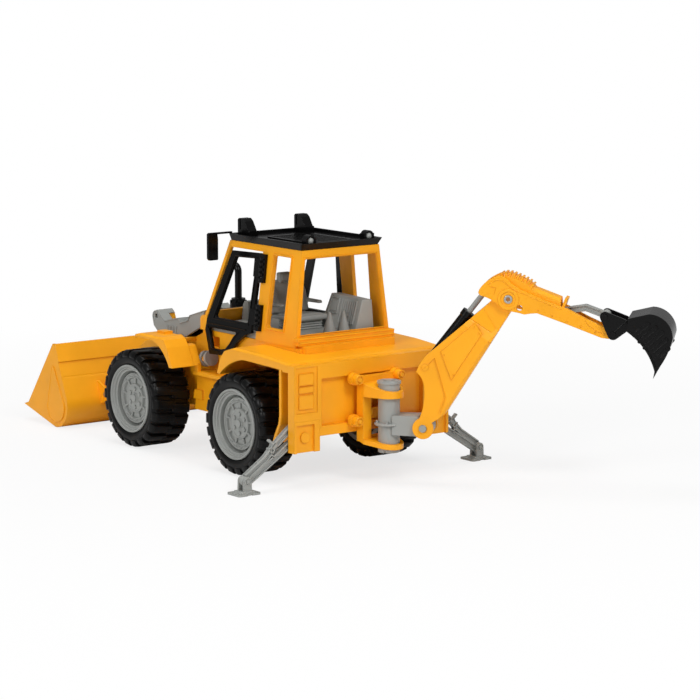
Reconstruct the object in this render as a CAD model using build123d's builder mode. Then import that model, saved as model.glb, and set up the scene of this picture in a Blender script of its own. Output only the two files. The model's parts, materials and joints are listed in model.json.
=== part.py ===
from build123d import *
import math
import os

# Toy backhoe loader, 1:16. Millimetres.
# +X points to the front loader, +Y to the machine's left, +Z up.
# The origin lies on the floor, on the mid-plane, under the rear axle.

# ---------------------------------------------------------------- driving sizes
tyre_radius = 45.0
tyre_width = 40.0
rim_lip_radius = 31.0
wheelbase = 165.0
wheel_outer_y = 89.0
axle_radius = 2.5
lugs_per_side = 22

running_gap = 0.08        # radial play of a shaft in its bore

core_half = 36.6          # half-width of the engine frame between the wheels
waist_half = 48.0         # half-width of the body between front and rear wheels
rear_x = -83.0            # rear plane of the machine
rear_half = 84.0          # half-width over the rear posts and fenders
post_inner = 57.0
post_depth = 9.0
deck_z = 105.8
box_split_z = 57.7
frame_bottom_z = 30.8

sill_z = 121.5
cab_rear_x = -40.5
cab_front_x = 100.0
cab_half = 50.5
cab_wall = 3.4
roof_base_z = 196.0
roof_rear_x = -37.4
roof_front_x = 69.0
roof_half = 42.0
roof_lip = 2.0
roof_height = 6.2

hood_half = 40.0
hood_wall = 2.0
ear_inner = 30.0
hood_pin_x = 191.6
hood_pin_z = 114.0
hood_pin_radius = 2.2

loader_pivot_x = 150.0
loader_pivot_z = 94.0
arm_inner = 41.2
arm_outer = 47.6
trunnion_radius = 4.0
bucket_half = 88.0
bucket_pin_x = 265.5
bucket_pin_z = 31.0
bucket_wall = 2.6
ram_y = 44.4
ram_root_x = 101.0
ram_root_z = 86.0
ram_eye_x = 148.0         # lever under the arm's hub that the lift ram pushes
ram_eye_z = 77.0
ram_pin_radius = 1.4
ram_eye_play = 1.2        # the eye sits loosely on its pin, so the ram never binds

kingpost_x = -105.0
kingpost_radius = 9.3
swing_deg = 42.0          # the boom stands this far from straight back, to the right

boom_pin = (31.3, 50.1)       # the backhoe's points are (distance from kingpost axis, height)
boom_lug = (33.1, 102.8)
arm_pivot = (103.0, 162.3)
rod_eye = (82.4, 167.6)
bucket_pin = (190.9, 134.9)
link_pin = (183.9, 149.5)
link_inner = (141.5, 151.6)
boom_half = 13.5
boom_neck_half = 8.6
cheek_half = 12.3
tip_half = 9.0
digger_half = 24.0

pad_y = 127.0
pad_pin_z = 11.5
leg_x = -71.0
leg_half = 2.4
leg_root_y = 62.0
leg_root_z = 52.0

# ---------------------------------------------------------------- derived sizes
axle_z = tyre_radius
wheel_centre_y = wheel_outer_y - tyre_width / 2
front_x = wheelbase
tyre_inner_y = wheel_outer_y - tyre_width
bore_radius = axle_radius + running_gap
swing = math.radians(swing_deg)
lean = math.atan2(cab_half - roof_half, roof_base_z - sill_z)

os.makedirs("parts", exist_ok=True)


def save(part, label):
    """Give a finished part its node name and write its STEP file."""
    part.label = label
    export_step(part, f"parts/{label}.step")


def side(y):
    """X-Z sketch plane at the given Y; an extrusion from it runs towards -Y."""
    return Plane.XZ.offset(-y)


def mirrored(part):
    """The same piece on the machine's other side."""
    return mirror(part, about=Plane.XZ)


def digging_plane(w=0.0):
    """Sketch plane of the backhoe, w to its left; x runs out along the boom."""
    normal = Vector(-math.sin(swing), math.cos(swing), 0)
    return Plane(
        origin=Vector(kingpost_x, 0, 0) + normal * w,
        x_dir=(-math.cos(swing), -math.sin(swing), 0),
        z_dir=normal,
    )


def along(start, end, w=0.0):
    """Sketch plane whose x runs from start to end in the digging plane and y runs sideways."""
    plane = digging_plane(w)
    origin = plane.from_local_coords(start)
    x_dir = plane.from_local_coords(end) - origin
    return Plane(origin=origin, x_dir=x_dir, z_dir=x_dir.cross(plane.z_dir))


def hull(*circles, mode=Mode.ADD):
    """Stretch one outline around circles given as (point, radius), inside a BuildSketch."""
    with BuildSketch(mode=Mode.PRIVATE) as stretched:
        for point, radius in circles:
            with Locations(point):
                Circle(radius)
        make_hull()
    add(stretched.sketch, mode=mode)


# ---------------------------------------------------------------- wheels
def make_tyre():
    """Lugged tyre around the Y axis, outer side towards +Y."""
    half = tyre_width / 2
    bead = rim_lip_radius - 2.4
    wall = rim_lip_radius + 0.3
    base = tyre_radius - 3.0
    with BuildPart() as tyre:
        with BuildSketch(Plane.XY):
            with BuildLine():
                Polyline((wall, -half + 2), (bead, -half + 2), (bead, half - 2), (wall, half - 2))
                ThreePointArc((wall, half - 2), (base - 5, half - 0.4), (base, half - 2.6))
                ThreePointArc((base, half - 2.6), (base + 0.8, 0), (base, -half + 2.6))
                ThreePointArc((base, -half + 2.6), (base - 5, -half + 0.4), (wall, -half + 2))
            make_face()
        revolve(axis=Axis.Y)
        pitch = 360 / lugs_per_side
        for sign, start in ((1, 0.0), (-1, pitch / 2)):
            with BuildSketch(side(half - 1.2 if sign > 0 else -1.0)):
                with PolarLocations(tyre_radius - 3.0, lugs_per_side, start_angle=start):
                    Trapezoid(5.6, 6.9, 80, rotation=-90)
                Circle(tyre_radius, mode=Mode.INTERSECT)
            extrude(amount=half - 2.2)
    return tyre.part


def make_rim():
    """Rim with stepped lips, a spoked disc and a blind axle bore, outer side towards +Y."""
    half = tyre_width / 2
    seat = rim_lip_radius - 2.5
    disc_y = 10.0
    hub_radius = 9.0
    with BuildPart() as rim:
        with BuildSketch(Plane.XY):
            Polygon(
                (0, disc_y + 2.2), (5, disc_y + 2.2), (6, disc_y + 1), (hub_radius + 3, disc_y + 1),
                (hub_radius + 6, disc_y), (seat - 5.5, disc_y), (seat - 5.5, disc_y + 2),
                (seat - 3.8, half - 4), (seat - 2, half - 2.5), (seat - 1, half - 1),
                (rim_lip_radius - 1.6, half), (rim_lip_radius, half - 0.8), (rim_lip_radius, half - 2),
                (seat, half - 2), (seat, -half + 2), (rim_lip_radius, -half + 2),
                (rim_lip_radius, -half + 0.6), (seat - 2, -half + 0.6), (seat - 2.5, disc_y - 3.4),
                (hub_radius, disc_y - 3.4), (hub_radius, -half + 2.5), (0, -half + 2.5),
                align=None,
            )
        revolve(axis=Axis.Y)
        with BuildSketch(side(disc_y + 4)):
            with PolarLocations(0, 9):
                with Locations((hub_radius + 7.6, 0)):
                    Trapezoid(8.2, 5.6, 77, rotation=-90)
        extrude(amount=5.6, mode=Mode.SUBTRACT)
        with Locations(Location((0, -half + 2.5 + 12, 0), (90, 0, 0))):
            Cylinder(bore_radius, 24, mode=Mode.SUBTRACT)
    return rim.part


tyre_shape = make_tyre()
rim_shape = make_rim()
for axle_name, wheel_x in (("rear", 0.0), ("front", front_x)):
    for side_name, turn, sign in (("left", 0, 1), ("right", 180, -1)):
        spot = Location((wheel_x, sign * wheel_centre_y, axle_z), (0, 0, turn))
        save(tyre_shape.moved(spot), f"tyre_{axle_name}_{side_name}")
        save(rim_shape.moved(spot), f"rim_{axle_name}_{side_name}")


# ---------------------------------------------------------------- chassis
frame_low_z = 38.0
ledge_z = 75.0
ledge_half = 56.0
engine_half = 33.0
bay_floor_z = 80.0
bay_rear_x = 114.0
bay_front_x = 174.0
nose_half = 28.6

with BuildPart() as chassis:
    with BuildSketch(side(core_half)):
        Polygon(
            (-62, frame_low_z + 4), (-54, frame_low_z), (178, frame_low_z), (186, frame_low_z + 10),
            (186, 86), (176, 92), (144, 95.6), (120, 106.8), (104, 108), (104, ledge_z), (-62, ledge_z),
            align=None,
        )
    extrude(amount=2 * core_half)
    # waist between the wheels, with the entry step on top of it
    with BuildSketch(side(waist_half)):
        Polygon(
            (50, frame_low_z), (118, frame_low_z), (112, ledge_z), (50, ledge_z), align=None
        )
    extrude(amount=2 * waist_half)
    with BuildSketch(side(ledge_half)):
        Polygon((56, ledge_z - 3.5), (110, ledge_z - 3.5), (108, ledge_z), (56, ledge_z), align=None)
    extrude(amount=2 * ledge_half)
    with BuildSketch(side(waist_half + 1.6)):
        Polygon((104, 48), (118, 48), (116, 56.5), (104, 56.5), align=None)
    extrude(amount=2 * waist_half + 3.2)
    # hollow underside, braced by a spine and by the axle housings
    spine_half = 2.0
    for low_x, high_x, half, top_z in (
        (-56, -12, core_half, 71.5), (12, 50, core_half, 71.5), (53, 110, waist_half, 71.5),
        (116, 150, core_half, 76.5), (153, 178, core_half, 76.5),
    ):
        for sign in (1, -1):
            with BuildSketch(side(sign * (spine_half + half - 3) / 2 + (half - 3 - spine_half) / 2)):
                Polygon((low_x, 20), (high_x, 20), (high_x, top_z), (low_x, top_z), align=None)
            extrude(amount=half - 3 - spine_half, mode=Mode.SUBTRACT)
    # engine bay
    with BuildSketch(side(engine_half + 0.2)):
        Polygon(
            (bay_rear_x, bay_floor_z), (bay_front_x, bay_floor_z), (bay_front_x, 112),
            (bay_rear_x, 112), align=None,
        )
    extrude(amount=2 * engine_half + 0.4, mode=Mode.SUBTRACT)
    # nose lugs that carry the hood's pin
    with BuildSketch(side(nose_half)):
        hull(((hood_pin_x, hood_pin_z), 5.0), ((181, 90), 4.5), ((176.5, 84), 2))
    extrude(amount=2 * nose_half)
    with BuildSketch(side(nose_half - 6)):
        Polygon((175, 90), (200, 90), (200, 122), (175, 122), align=None)
    extrude(amount=2 * (nose_half - 6), mode=Mode.SUBTRACT)
    with BuildSketch(side(nose_half)):
        with Locations((hood_pin_x, hood_pin_z)):
            Circle(hood_pin_radius + 0.05)
    extrude(amount=2 * nose_half, mode=Mode.SUBTRACT)
    # axle housings and bores
    for x in (0.0, front_x):
        with Locations(Location((x, 0, axle_z), (90, 0, 0))):
            Cylinder(7.5, 2 * (tyre_inner_y - 2))
            Cylinder(axle_radius + 0.05, 4 * tyre_inner_y, mode=Mode.SUBTRACT)
    # trunnions of the loader arms and of the lift rams
    for x, z, radius, reach in (
        (loader_pivot_x, loader_pivot_z, trunnion_radius, arm_outer + 0.9),
        (ram_root_x, ram_root_z, 2.2, ram_y + 5.4),
    ):
        for sign in (1, -1):
            with Locations(Location((x, sign * (core_half - 2 + reach) / 2, z), (90, 0, 0))):
                Cylinder(radius, reach - core_half + 2)
    # ram root backing plate down to the waist
    with BuildSketch(side(core_half)):
        Polygon((92, ledge_z - 1), (108, ledge_z - 1), (108, 96), (96, 96), align=None)
    extrude(amount=2 * core_half)
    # carriers of the front fenders, behind the arm hubs
    for sign in (1, -1):
        with Locations((134, sign * (core_half - 2 + 57.5) / 2, 99.5)):
            Box(6, 57.5 - core_half + 2, 3)
        with Locations((134, sign * (core_half - 1.4), 97)):
            Box(6, 2.8, 8)
save(chassis.part, "chassis")

with BuildPart() as engine_block:
    with BuildSketch(side(engine_half)):
        Polygon(
            (bay_rear_x + 0.6, bay_floor_z), (bay_front_x - 1, bay_floor_z), (bay_front_x - 1, 103),
            (154, 104), (140, 107), (123, 114.5), (bay_rear_x + 0.6, 114.5), align=None,
        )
    extrude(amount=2 * engine_half)
    with BuildSketch(Plane.XY.offset(120)):
        with Locations((144, 0)):
            with GridLocations(9, 0, 6, 1):
                Rectangle(3, 2 * engine_half - 16)
    extrude(amount=-18, mode=Mode.SUBTRACT)
save(engine_block.part, "engine_block")

with BuildPart() as front_grille:
    with BuildSketch(Plane.YZ.offset(186)):
        with Locations((0, 69)):
            RectangleRounded(50, 34, 3)
    extrude(amount=2.5)
    with BuildSketch(Plane.YZ.offset(188.5)):
        with Locations((0, 69)):
            with GridLocations(0, 5, 1, 6):
                Rectangle(44, 2.4)
    extrude(amount=-1.4, mode=Mode.SUBTRACT)
save(front_grille.part, "front_grille")

for axle_name, axle_x in (("rear", 0.0), ("front", front_x)):
    with BuildPart() as axle:
        with Locations(Location((axle_x, 0, axle_z), (90, 0, 0))):
            Cylinder(axle_radius, 2 * (wheel_centre_y + 4))
    save(axle.part, f"{axle_name}_axle")


# ---------------------------------------------------------------- body shell and fenders
shell_half = waist_half
plinth_rear_x = -51.6
plinth_top_z = 115.1
cab_floor_z = 113.0
fender_wall = 3.0


def rear_fender_top(drop=0.0):
    """Points of the rear fender's top edge from front to rear, lowered by drop."""
    return [
        (30.5 - drop, 86), (26 - drop, 99 - drop), (19, 106.5 - drop), (4, 111 - drop),
        (-40, 109.6 - drop), (-70, 107.2 - drop), (rear_x + post_depth, deck_z - drop),
    ]


with BuildPart() as body_shell:
    # cab base, open underneath
    with BuildSketch(side(shell_half)):
        Polygon(
            (rear_x + post_depth, ledge_z), (78, ledge_z), (78, 108), (104, 108),
            (104, cab_floor_z), (plinth_rear_x + 5, cab_floor_z), (plinth_rear_x + 5, deck_z),
            (rear_x + post_depth, deck_z), align=None,
        )
    extrude(amount=2 * shell_half)
    with BuildSketch(side(shell_half - 3)):
        Polygon(
            (rear_x + post_depth + 3, ledge_z - 1), (75, ledge_z - 1), (75, deck_z - 3),
            (rear_x + post_depth + 3, deck_z - 3), align=None,
        )
    extrude(amount=2 * (shell_half - 3), mode=Mode.SUBTRACT)
    # rear fenders with the deck between them
    with BuildSketch(side(rear_half)):
        with BuildLine():
            top = Polyline(*rear_fender_top())
            Polyline(top @ 1, (rear_x + post_depth, 99), (-66, 99), (-66, 100.5), (-10, 102))
            ThreePointArc((-10, 102), (10.3, 96.5), (27, 85))
            Line((27, 85), top @ 0)
        make_face()
    extrude(amount=2 * rear_half)
    with BuildSketch(side(rear_half - fender_wall)):
        Polygon(
            *rear_fender_top(fender_wall)[1:6], (-66, 96), (27.5 - fender_wall, 80), align=None
        )
    extrude(amount=2 * (rear_half - fender_wall), mode=Mode.SUBTRACT)
    with BuildSketch(side(shell_half)):
        Polygon((-69, 90), (28, 90), (28, deck_z - 1), (-69, deck_z - 1), align=None)
    extrude(amount=2 * shell_half)
    with BuildSketch(side(shell_half - 3)):
        Polygon((-66, 80), (25, 80), (25, deck_z - 3), (-66, deck_z - 3), align=None)
    extrude(amount=2 * (shell_half - 3), mode=Mode.SUBTRACT)
    bevelled = body_shell.edges().filter_by(Axis.X, tolerance=8).filter_by_position(
        Axis.Z, deck_z, 112
    ).filter_by(lambda edge: abs(abs(edge.center().Y) - rear_half) < 0.1)
    chamfer(bevelled, 1.8)
    # cab side base and rear plinth
    with BuildSketch(Plane.XY.offset(deck_z - 2)):
        with Locations(((plinth_rear_x + 5 + 18) / 2, 0)):
            Rectangle(18 - plinth_rear_x - 5, 2 * (cab_half + 0.8))
    extrude(amount=cab_floor_z - deck_z + 2)
    with BuildSketch(Plane.XY.offset(deck_z - 1)):
        with Locations(((plinth_rear_x - 41.2) / 2, 0)):
            Rectangle(-41.2 - plinth_rear_x, 97)
    extrude(amount=plinth_top_z - deck_z + 1)
    # rear walls of the wheel arches, raked towards the tyre at their foot
    for low in (post_inner - 1, -rear_half):
        with BuildSketch(side(low + rear_half - post_inner + 1)):
            Polygon(
                (-64.4, 101), (-64.4, 62), (-63, 53), (-57.5, 43), (-54.5, 36), (-51.5, 36.6),
                (-54.6, 44), (-60.2, 54), (-61.4, 62), (-61.4, 101), align=None,
            )
        extrude(amount=rear_half - post_inner + 1)
    for sign in (1, -1):
        with Locations((-63, sign * (shell_half + post_inner) / 2, 90)):
            Box(3, post_inner - shell_half + 4, 24)
save(body_shell.part, "body_shell")


def make_front_fender():
    """Left front fender: a bent sheet over the tyre with a raised lug on top."""
    inner = 60.0
    with BuildPart() as fender:
        with BuildSketch(side(rear_half)):
            with BuildLine():
                edge = Polyline(
                    (106, 80.5), (101, 80.5), (109.5, 98), (114.5, 104.4), (120, 106.3), (154, 106.3),
                    (160, 104.8), (161, 101.5), (157, 102.6), (136, 102.8),
                )
                ThreePointArc(edge @ 1, (118, 95.2), edge @ 0)
            make_face()
        extrude(amount=rear_half - inner)
        top_edges = fender.edges().filter_by(Axis.X).group_by(Axis.Z)[-1].sort_by(Axis.Y)
        chamfer(top_edges[-1], 1.6)
        with Locations((140, inner + 5, 107.4)):
            Box(12, 9, 2.6)
        # foot down to the entry step and inner tongue onto the carrier
        with Locations((104, ledge_half - 2, (ledge_z + 82) / 2)):
            Box(5, 4, 82 - ledge_z)
        with BuildSketch(side(inner + 1)):
            Polygon(
                (101.5, 80.5), (106.5, 80.5), (114, 92), (116, 99), (110, 98), (102.5, 83), align=None
            )
        extrude(amount=inner + 1 - ledge_half + 4)
        with Locations((134, 59.3, 100.8)):
            Box(6, 3.6, 5.6)
    return fender.part


front_fender = make_front_fender()
save(front_fender, "front_fender_left")
save(mirrored(front_fender), "front_fender_right")


# ---------------------------------------------------------------- rear frame
with BuildPart() as rear_frame:
    with BuildSketch(Plane.YZ.offset(rear_x)):
        Polygon(
            (-rear_half, box_split_z), (-post_inner, box_split_z), (-post_inner, 43.5),
            (post_inner, 43.5), (post_inner, box_split_z), (rear_half, box_split_z),
            (rear_half, deck_z), (-rear_half, deck_z), align=None,
        )
    extrude(amount=post_depth)
    with BuildSketch(Plane.YZ.offset(rear_x)):
        with Locations((0, (51.8 + 92.6) / 2)):
            Rectangle(110.4, 92.6 - 51.8)
    extrude(amount=5, mode=Mode.SUBTRACT)
    for sign in (1, -1):
        with BuildSketch(Plane.YZ.offset(rear_x)):
            with Locations((sign * 70.8, 84)):
                Rectangle(22.5, 39)
        extrude(amount=0.9, mode=Mode.SUBTRACT)
        with BuildSketch(Plane.YZ.offset(rear_x + 0.9)):
            with Locations((sign * 71.2, 93.4)):
                RectangleRounded(15.5, 10, 1.5)
            with Locations((sign * 71.2, 84.6)):
                RectangleRounded(15.5, 5.4, 1.5)
            with Locations((sign * 71.2, 74)):
                RectangleRounded(15.5, 12, 1.5)
        extrude(amount=-0.9)
save(rear_frame.part, "rear_frame")


def make_stabiliser_box():
    """Left lower box on the rear post, which holds the leg's root pin."""
    with BuildPart() as box:
        with BuildSketch(Plane.YZ.offset(rear_x)):
            Polygon(
                (post_inner, frame_bottom_z), (rear_half, frame_bottom_z),
                (rear_half, box_split_z), (post_inner, box_split_z), align=None,
            )
        extrude(amount=post_depth)
        with BuildSketch(Plane.YZ.offset(rear_x)):
            with Locations((72, 41.5)):
                Rectangle(18.5, 26)
        extrude(amount=2.2, mode=Mode.SUBTRACT)
        with BuildSketch(Plane.YZ.offset(rear_x + 2.2)):
            with Locations((71.5, 43.5)):
                Circle(4.6)
        extrude(amount=-1.2)
        # web, inner wall and front ear around the leg's root
        with BuildSketch(Plane.YZ.offset(rear_x + post_depth)):
            Polygon(
                (post_inner, 41.5), (post_inner + 3.5, 41.5), (post_inner + 3.5, 46.2),
                (post_inner, 46.2), align=None,
            )
        extrude(amount=9)
        with BuildSketch(Plane.YZ.offset(rear_x + post_depth + 0.4)):
            Polygon(
                (post_inner - 3.6, 41.5), (post_inner, 41.5), (post_inner, 57), (post_inner - 3.6, 57),
                align=None,
            )
        extrude(amount=8.6)
        with BuildSketch(Plane.YZ.offset(rear_x + 15)):
            hull(((leg_root_y, leg_root_z), 4.6), ((post_inner - 1.6, 50.2), 2))
        extrude(amount=3)
        with Locations(Location((rear_x + 10.5, leg_root_y, leg_root_z), (0, 90, 0))):
            Cylinder(1.8, 15)
    return box.part


stabiliser_box = make_stabiliser_box()
save(stabiliser_box, "stabiliser_box_left")
save(mirrored(stabiliser_box), "stabiliser_box_right")


# ---------------------------------------------------------------- cab
front_slope = (cab_front_x - roof_front_x) / (roof_base_z - sill_z)
door_hinge_x = 17.0
door_open_rear_x = 18.3
pillar_depth = 4.2


def windshield_x(z):
    """X of the windshield plane at height z."""
    return cab_front_x - (z - sill_z) * front_slope


def cab_side_y(z):
    """Half-width of the leaning cab side at height z."""
    return cab_half - (z - sill_z) * math.tan(lean)


def cab_ring(inset, z):
    """Horizontal section of the cab, shrunk by inset all round."""
    rear = cab_rear_x + (roof_rear_x - cab_rear_x) * (z - sill_z) / (roof_base_z - sill_z)
    front = windshield_x(z)
    with BuildSketch(Plane.XY.offset(z), mode=Mode.PRIVATE) as ring:
        with Locations(((rear + front) / 2, 0)):
            Rectangle(front - rear - 2 * inset, 2 * (cab_side_y(z) - inset))
    return ring.sketch.face()


with BuildPart() as cab_frame:
    loft(sections=[cab_ring(0, cab_floor_z), cab_ring(0, roof_base_z)])
    loft(
        sections=[cab_ring(cab_wall, cab_floor_z - 1), cab_ring(cab_wall, roof_base_z + 1)],
        mode=Mode.SUBTRACT,
    )
    # door openings reach from the B-pillar to the slim A-pillar
    with BuildSketch(side(70)):
        Polygon(
            (door_open_rear_x, 100), (door_open_rear_x, 190.2),
            (windshield_x(190.2) - pillar_depth, 190.2), (windshield_x(125) - pillar_depth, 125),
            (windshield_x(125) - pillar_depth, 100), align=None,
        )
    extrude(amount=140, mode=Mode.SUBTRACT)
    # rear side windows
    with BuildSketch(side(70)):
        Polygon((0.7, 188.6), (-23.9, 188.6), (-20.9, 126), (2.7, 126), align=None)
        fillet(vertices(), 2.4)
    extrude(amount=140, mode=Mode.SUBTRACT)
    # raised mouldings round the rear side windows
    for sign in (1, -1):
        slope = Plane(
            origin=(0, sign * (cab_side_y(157) - 0.5), 157), x_dir=(1, 0, 0),
            z_dir=(0, sign * math.cos(lean), math.sin(lean)),
        )
        flip = 1 if sign < 0 else -1
        with BuildSketch(slope):
            Polygon(
                (2.6, flip * 33.8), (-25.6, flip * 33.8), (-22.6, -flip * 33), (4.6, -flip * 33),
                align=None,
            )
            fillet(vertices(), 3.5)
            Polygon(
                (1.1, flip * 32.3), (-24.3, flip * 32.3), (-21.3, -flip * 31.7), (3.1, -flip * 31.7),
                align=None, mode=Mode.SUBTRACT,
            )
        extrude(amount=1.3)
    # rear window, then the windshield opening above the cowl
    with BuildSketch(Plane.YZ.offset(-60)):
        Polygon((-46, 122.5), (46, 122.5), (38.4, 188.4), (-38.4, 188.4), align=None)
        fillet(vertices(), 1.5)
    extrude(amount=40, mode=Mode.SUBTRACT)
    with BuildSketch(Plane.YZ.offset(60)):
        Polygon((-46, 130), (46, 130), (38.8, 190), (-38.8, 190), align=None)
        fillet(vertices(), 2.0)
    extrude(amount=50, mode=Mode.SUBTRACT)
    # two stepped sills across the rear
    for rear, half, low, high in ((-45.7, 52.5, 118.3, sill_z), (-46.8, 51.7, plinth_top_z, 118.3)):
        with Locations(((rear - 38) / 2, 0, (low + high) / 2)):
            Box(-38 - rear, 2 * half, high - low)
    # round-topped feet of the A-pillars
    for sign in (1, -1):
        with BuildSketch(side(sign * 47.4 + 2.2)):
            with Locations((101, 117)):
                Rectangle(10, 8)
            with Locations((101, 121)):
                Circle(5)
        extrude(amount=4.4)
save(cab_frame.part, "cab_frame")

with BuildPart() as cab_floor:
    extrude(cab_ring(cab_wall + 1.3, cab_floor_z), amount=6.2)
    with BuildSketch(side(70)):
        Polygon((95, 112), (110, 112), (110, 121), (95, 121), align=None)
    extrude(amount=140, mode=Mode.SUBTRACT)
    with BuildSketch(side(60)):
        Polygon((12, 112), (110, 112), (110, 121), (12, 121), align=None)
    extrude(amount=60 - shell_half + 0.6, mode=Mode.SUBTRACT)
    with BuildSketch(side(-shell_half + 0.6)):
        Polygon((12, 112), (110, 112), (110, 121), (12, 121), align=None)
    extrude(amount=60 - shell_half + 0.6, mode=Mode.SUBTRACT)
save(cab_floor.part, "cab_floor")
cab_floor_top = cab_floor_z + 6.2

with BuildPart() as dash:
    with BuildSketch(side(12)):
        Polygon(
            (84, cab_floor_top), (94.5, cab_floor_top), (92.5, 133), (90, 137), (84.5, 137), align=None
        )
    extrude(amount=24)
    chamfer(dash.edges().filter_by(Axis.Y).group_by(Axis.Z)[-1], 0.8)
save(dash.part, "dash")

with BuildPart() as roof:
    roof_mid = (roof_rear_x + roof_front_x) / 2
    roof_length = roof_front_x - roof_rear_x
    with BuildSketch(Plane.XY.offset(roof_base_z)):
        with Locations((roof_mid, 0)):
            RectangleRounded(roof_length - 0.6, 2 * roof_half - 0.4, 2)
    with BuildSketch(Plane.XY.offset(roof_base_z + roof_height)):
        with Locations((roof_mid - 1.4, 0)):
            RectangleRounded(roof_length + 3.6, 2 * (roof_half + roof_lip), 2)
    loft()
    with BuildSketch(Plane.XY.offset(roof_base_z + roof_height)):
        with Locations((roof_mid - 1.4, 0)):
            RectangleRounded(roof_length - 1, 2 * (roof_half + roof_lip) - 4.6, 2)
    extrude(amount=-3, mode=Mode.SUBTRACT)
    # raised frame with grid bars on the roof panel
    grid_z = roof_base_z + roof_height - 3
    with BuildSketch(Plane.XY.offset(grid_z)):
        with Locations((8, 0)):
            RectangleRounded(62, 48, 2)
            RectangleRounded(57, 43, 1, mode=Mode.SUBTRACT)
            with GridLocations(5.6, 0, 9, 1):
                Rectangle(1.6, 44)
    extrude(amount=1.4)
    # rear lamp housings
    for sign in (1, -1):
        with Locations((-33.6, sign * 31.6, grid_z + 3.5)):
            Box(7, 10.5, 7)
        with BuildSketch(Plane.YZ.offset(-37.1)):
            with Locations((sign * 31.6, grid_z + 5)):
                Circle(4.6)
        extrude(amount=7)
    with BuildSketch(Plane.YZ.offset(-37.1)):
        with Locations((-31.6, grid_z + 4.6), (31.6, grid_z + 4.6)):
            Circle(3.3)
    extrude(amount=2.2, mode=Mode.SUBTRACT)
save(roof.part, "roof")

with BuildPart() as lamp_lenses:
    for sign in (1, -1):
        with Locations((-34.9, sign * 31.6, grid_z + 4.6)):
            Sphere(3.2)
        with Locations((-31.7, sign * 31.6, grid_z + 4.6)):
            Box(6.4, 8, 8, mode=Mode.SUBTRACT)
save(lamp_lenses.part, "lamp_lenses")

with BuildPart() as work_lights:
    pod_z = roof_base_z + roof_height - 3
    for sign in (1, -1):
        with BuildSketch(side(sign * 31 + 4.6)):
            Polygon(
                (66.4, pod_z), (66.4, 214), (64.6, 215.4), (59, 215.4), (55.6, 213), (50.6, 205),
                (48.6, 205), (48.6, pod_z), align=None,
            )
        extrude(amount=9.2)
        with BuildSketch(Plane.XY.offset(216)):
            with Locations((62.6, sign * 31)):
                Rectangle(1.6, 10)
        extrude(amount=-10.5, mode=Mode.SUBTRACT)
save(work_lights.part, "work_lights")

with BuildPart() as mirror_arm:
    arm_z = roof_base_z + roof_height
    with BuildSketch(Plane.YZ.offset(66.2)):
        Polygon(
            (41.6, arm_z), (41.6, arm_z + 1.6), (66, arm_z + 1.6), (67.4, arm_z + 0.4), (67.4, 181),
            (65.8, 179.4), (57.6, 179.4), (57, 180.4), (57, 198), (57.6, arm_z), align=None,
        )
    extrude(amount=2.6)
save(mirror_arm.part, "mirror")


# ---------------------------------------------------------------- doors
def door_plane(lift):
    """Sketch plane in the left cab side, lift outside it; x runs forward, y up the lean."""
    normal = Vector(0, math.cos(lean), math.sin(lean))
    origin = Vector(0, cab_half, sill_z) + normal * lift
    return Plane(origin=origin, x_dir=(-1, 0, 0), z_dir=normal)


door_out = 1.2
door_thick = 2.8
door_low = [(24.2, 118.6), (33, 115.8), (44, 108.5), (52, 99), (58, 95), (66.9, 93.9), (84.3, 93.2)]
door_high = [(94.0, 114), (92.6, 123), (62.6, 187.4), (19.4, 188.8)]


def door_face(points):
    """Outline given in (x, z) of the machine laid onto the current door sketch."""
    stretch = 1 / math.cos(lean)
    Polygon(*[(-x, (z - sill_z) * stretch) for x, z in points], align=None)


def make_door():
    """Left door: one frame with an upper and a lower window, a cross bar and hinge knuckles."""
    with BuildPart() as door:
        with BuildSketch(door_plane(door_out)):
            door_face(door_low + door_high)
        extrude(amount=-door_thick)
        with BuildSketch(door_plane(door_out + 1)):
            door_face([(30.4, 126.4), (80.6, 126.4), (56.0, 182.2), (25.6, 183.4)])
            fillet(vertices(), 2.2)
        extrude(amount=-door_thick - 2, mode=Mode.SUBTRACT)
        with BuildSketch(door_plane(door_out + 1)):
            door_face([
                (43, 116.6), (88.6, 116.6), (80.4, 98.6), (68.5, 98.8), (61, 100.2), (55.4, 105.5),
                (50, 112),
            ])
            fillet(vertices(), 1.6)
        extrude(amount=-door_thick - 2, mode=Mode.SUBTRACT)
        # hinge knuckles on the rear edge
        for low, high in ((126, 140), (168, 184)):
            with BuildSketch(door_plane(door_out + 1.4)):
                door_face([(door_hinge_x, low), (26.5, low), (26.5, high), (door_hinge_x, high)])
            extrude(amount=-2.2)
            foot = Vector(door_hinge_x, cab_side_y(low), low)
            tilt = Plane(
                origin=foot + Vector(0, math.cos(lean), math.sin(lean)) * 2.1, x_dir=(1, 0, 0),
                z_dir=(0, -math.sin(lean), math.cos(lean)),
            )
            with BuildSketch(tilt):
                Circle(1.7)
            extrude(amount=high - low)
            with BuildSketch(tilt.offset(-1)):
                Circle(0.88)
            extrude(amount=high - low + 2, mode=Mode.SUBTRACT)
    return door.part


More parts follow.
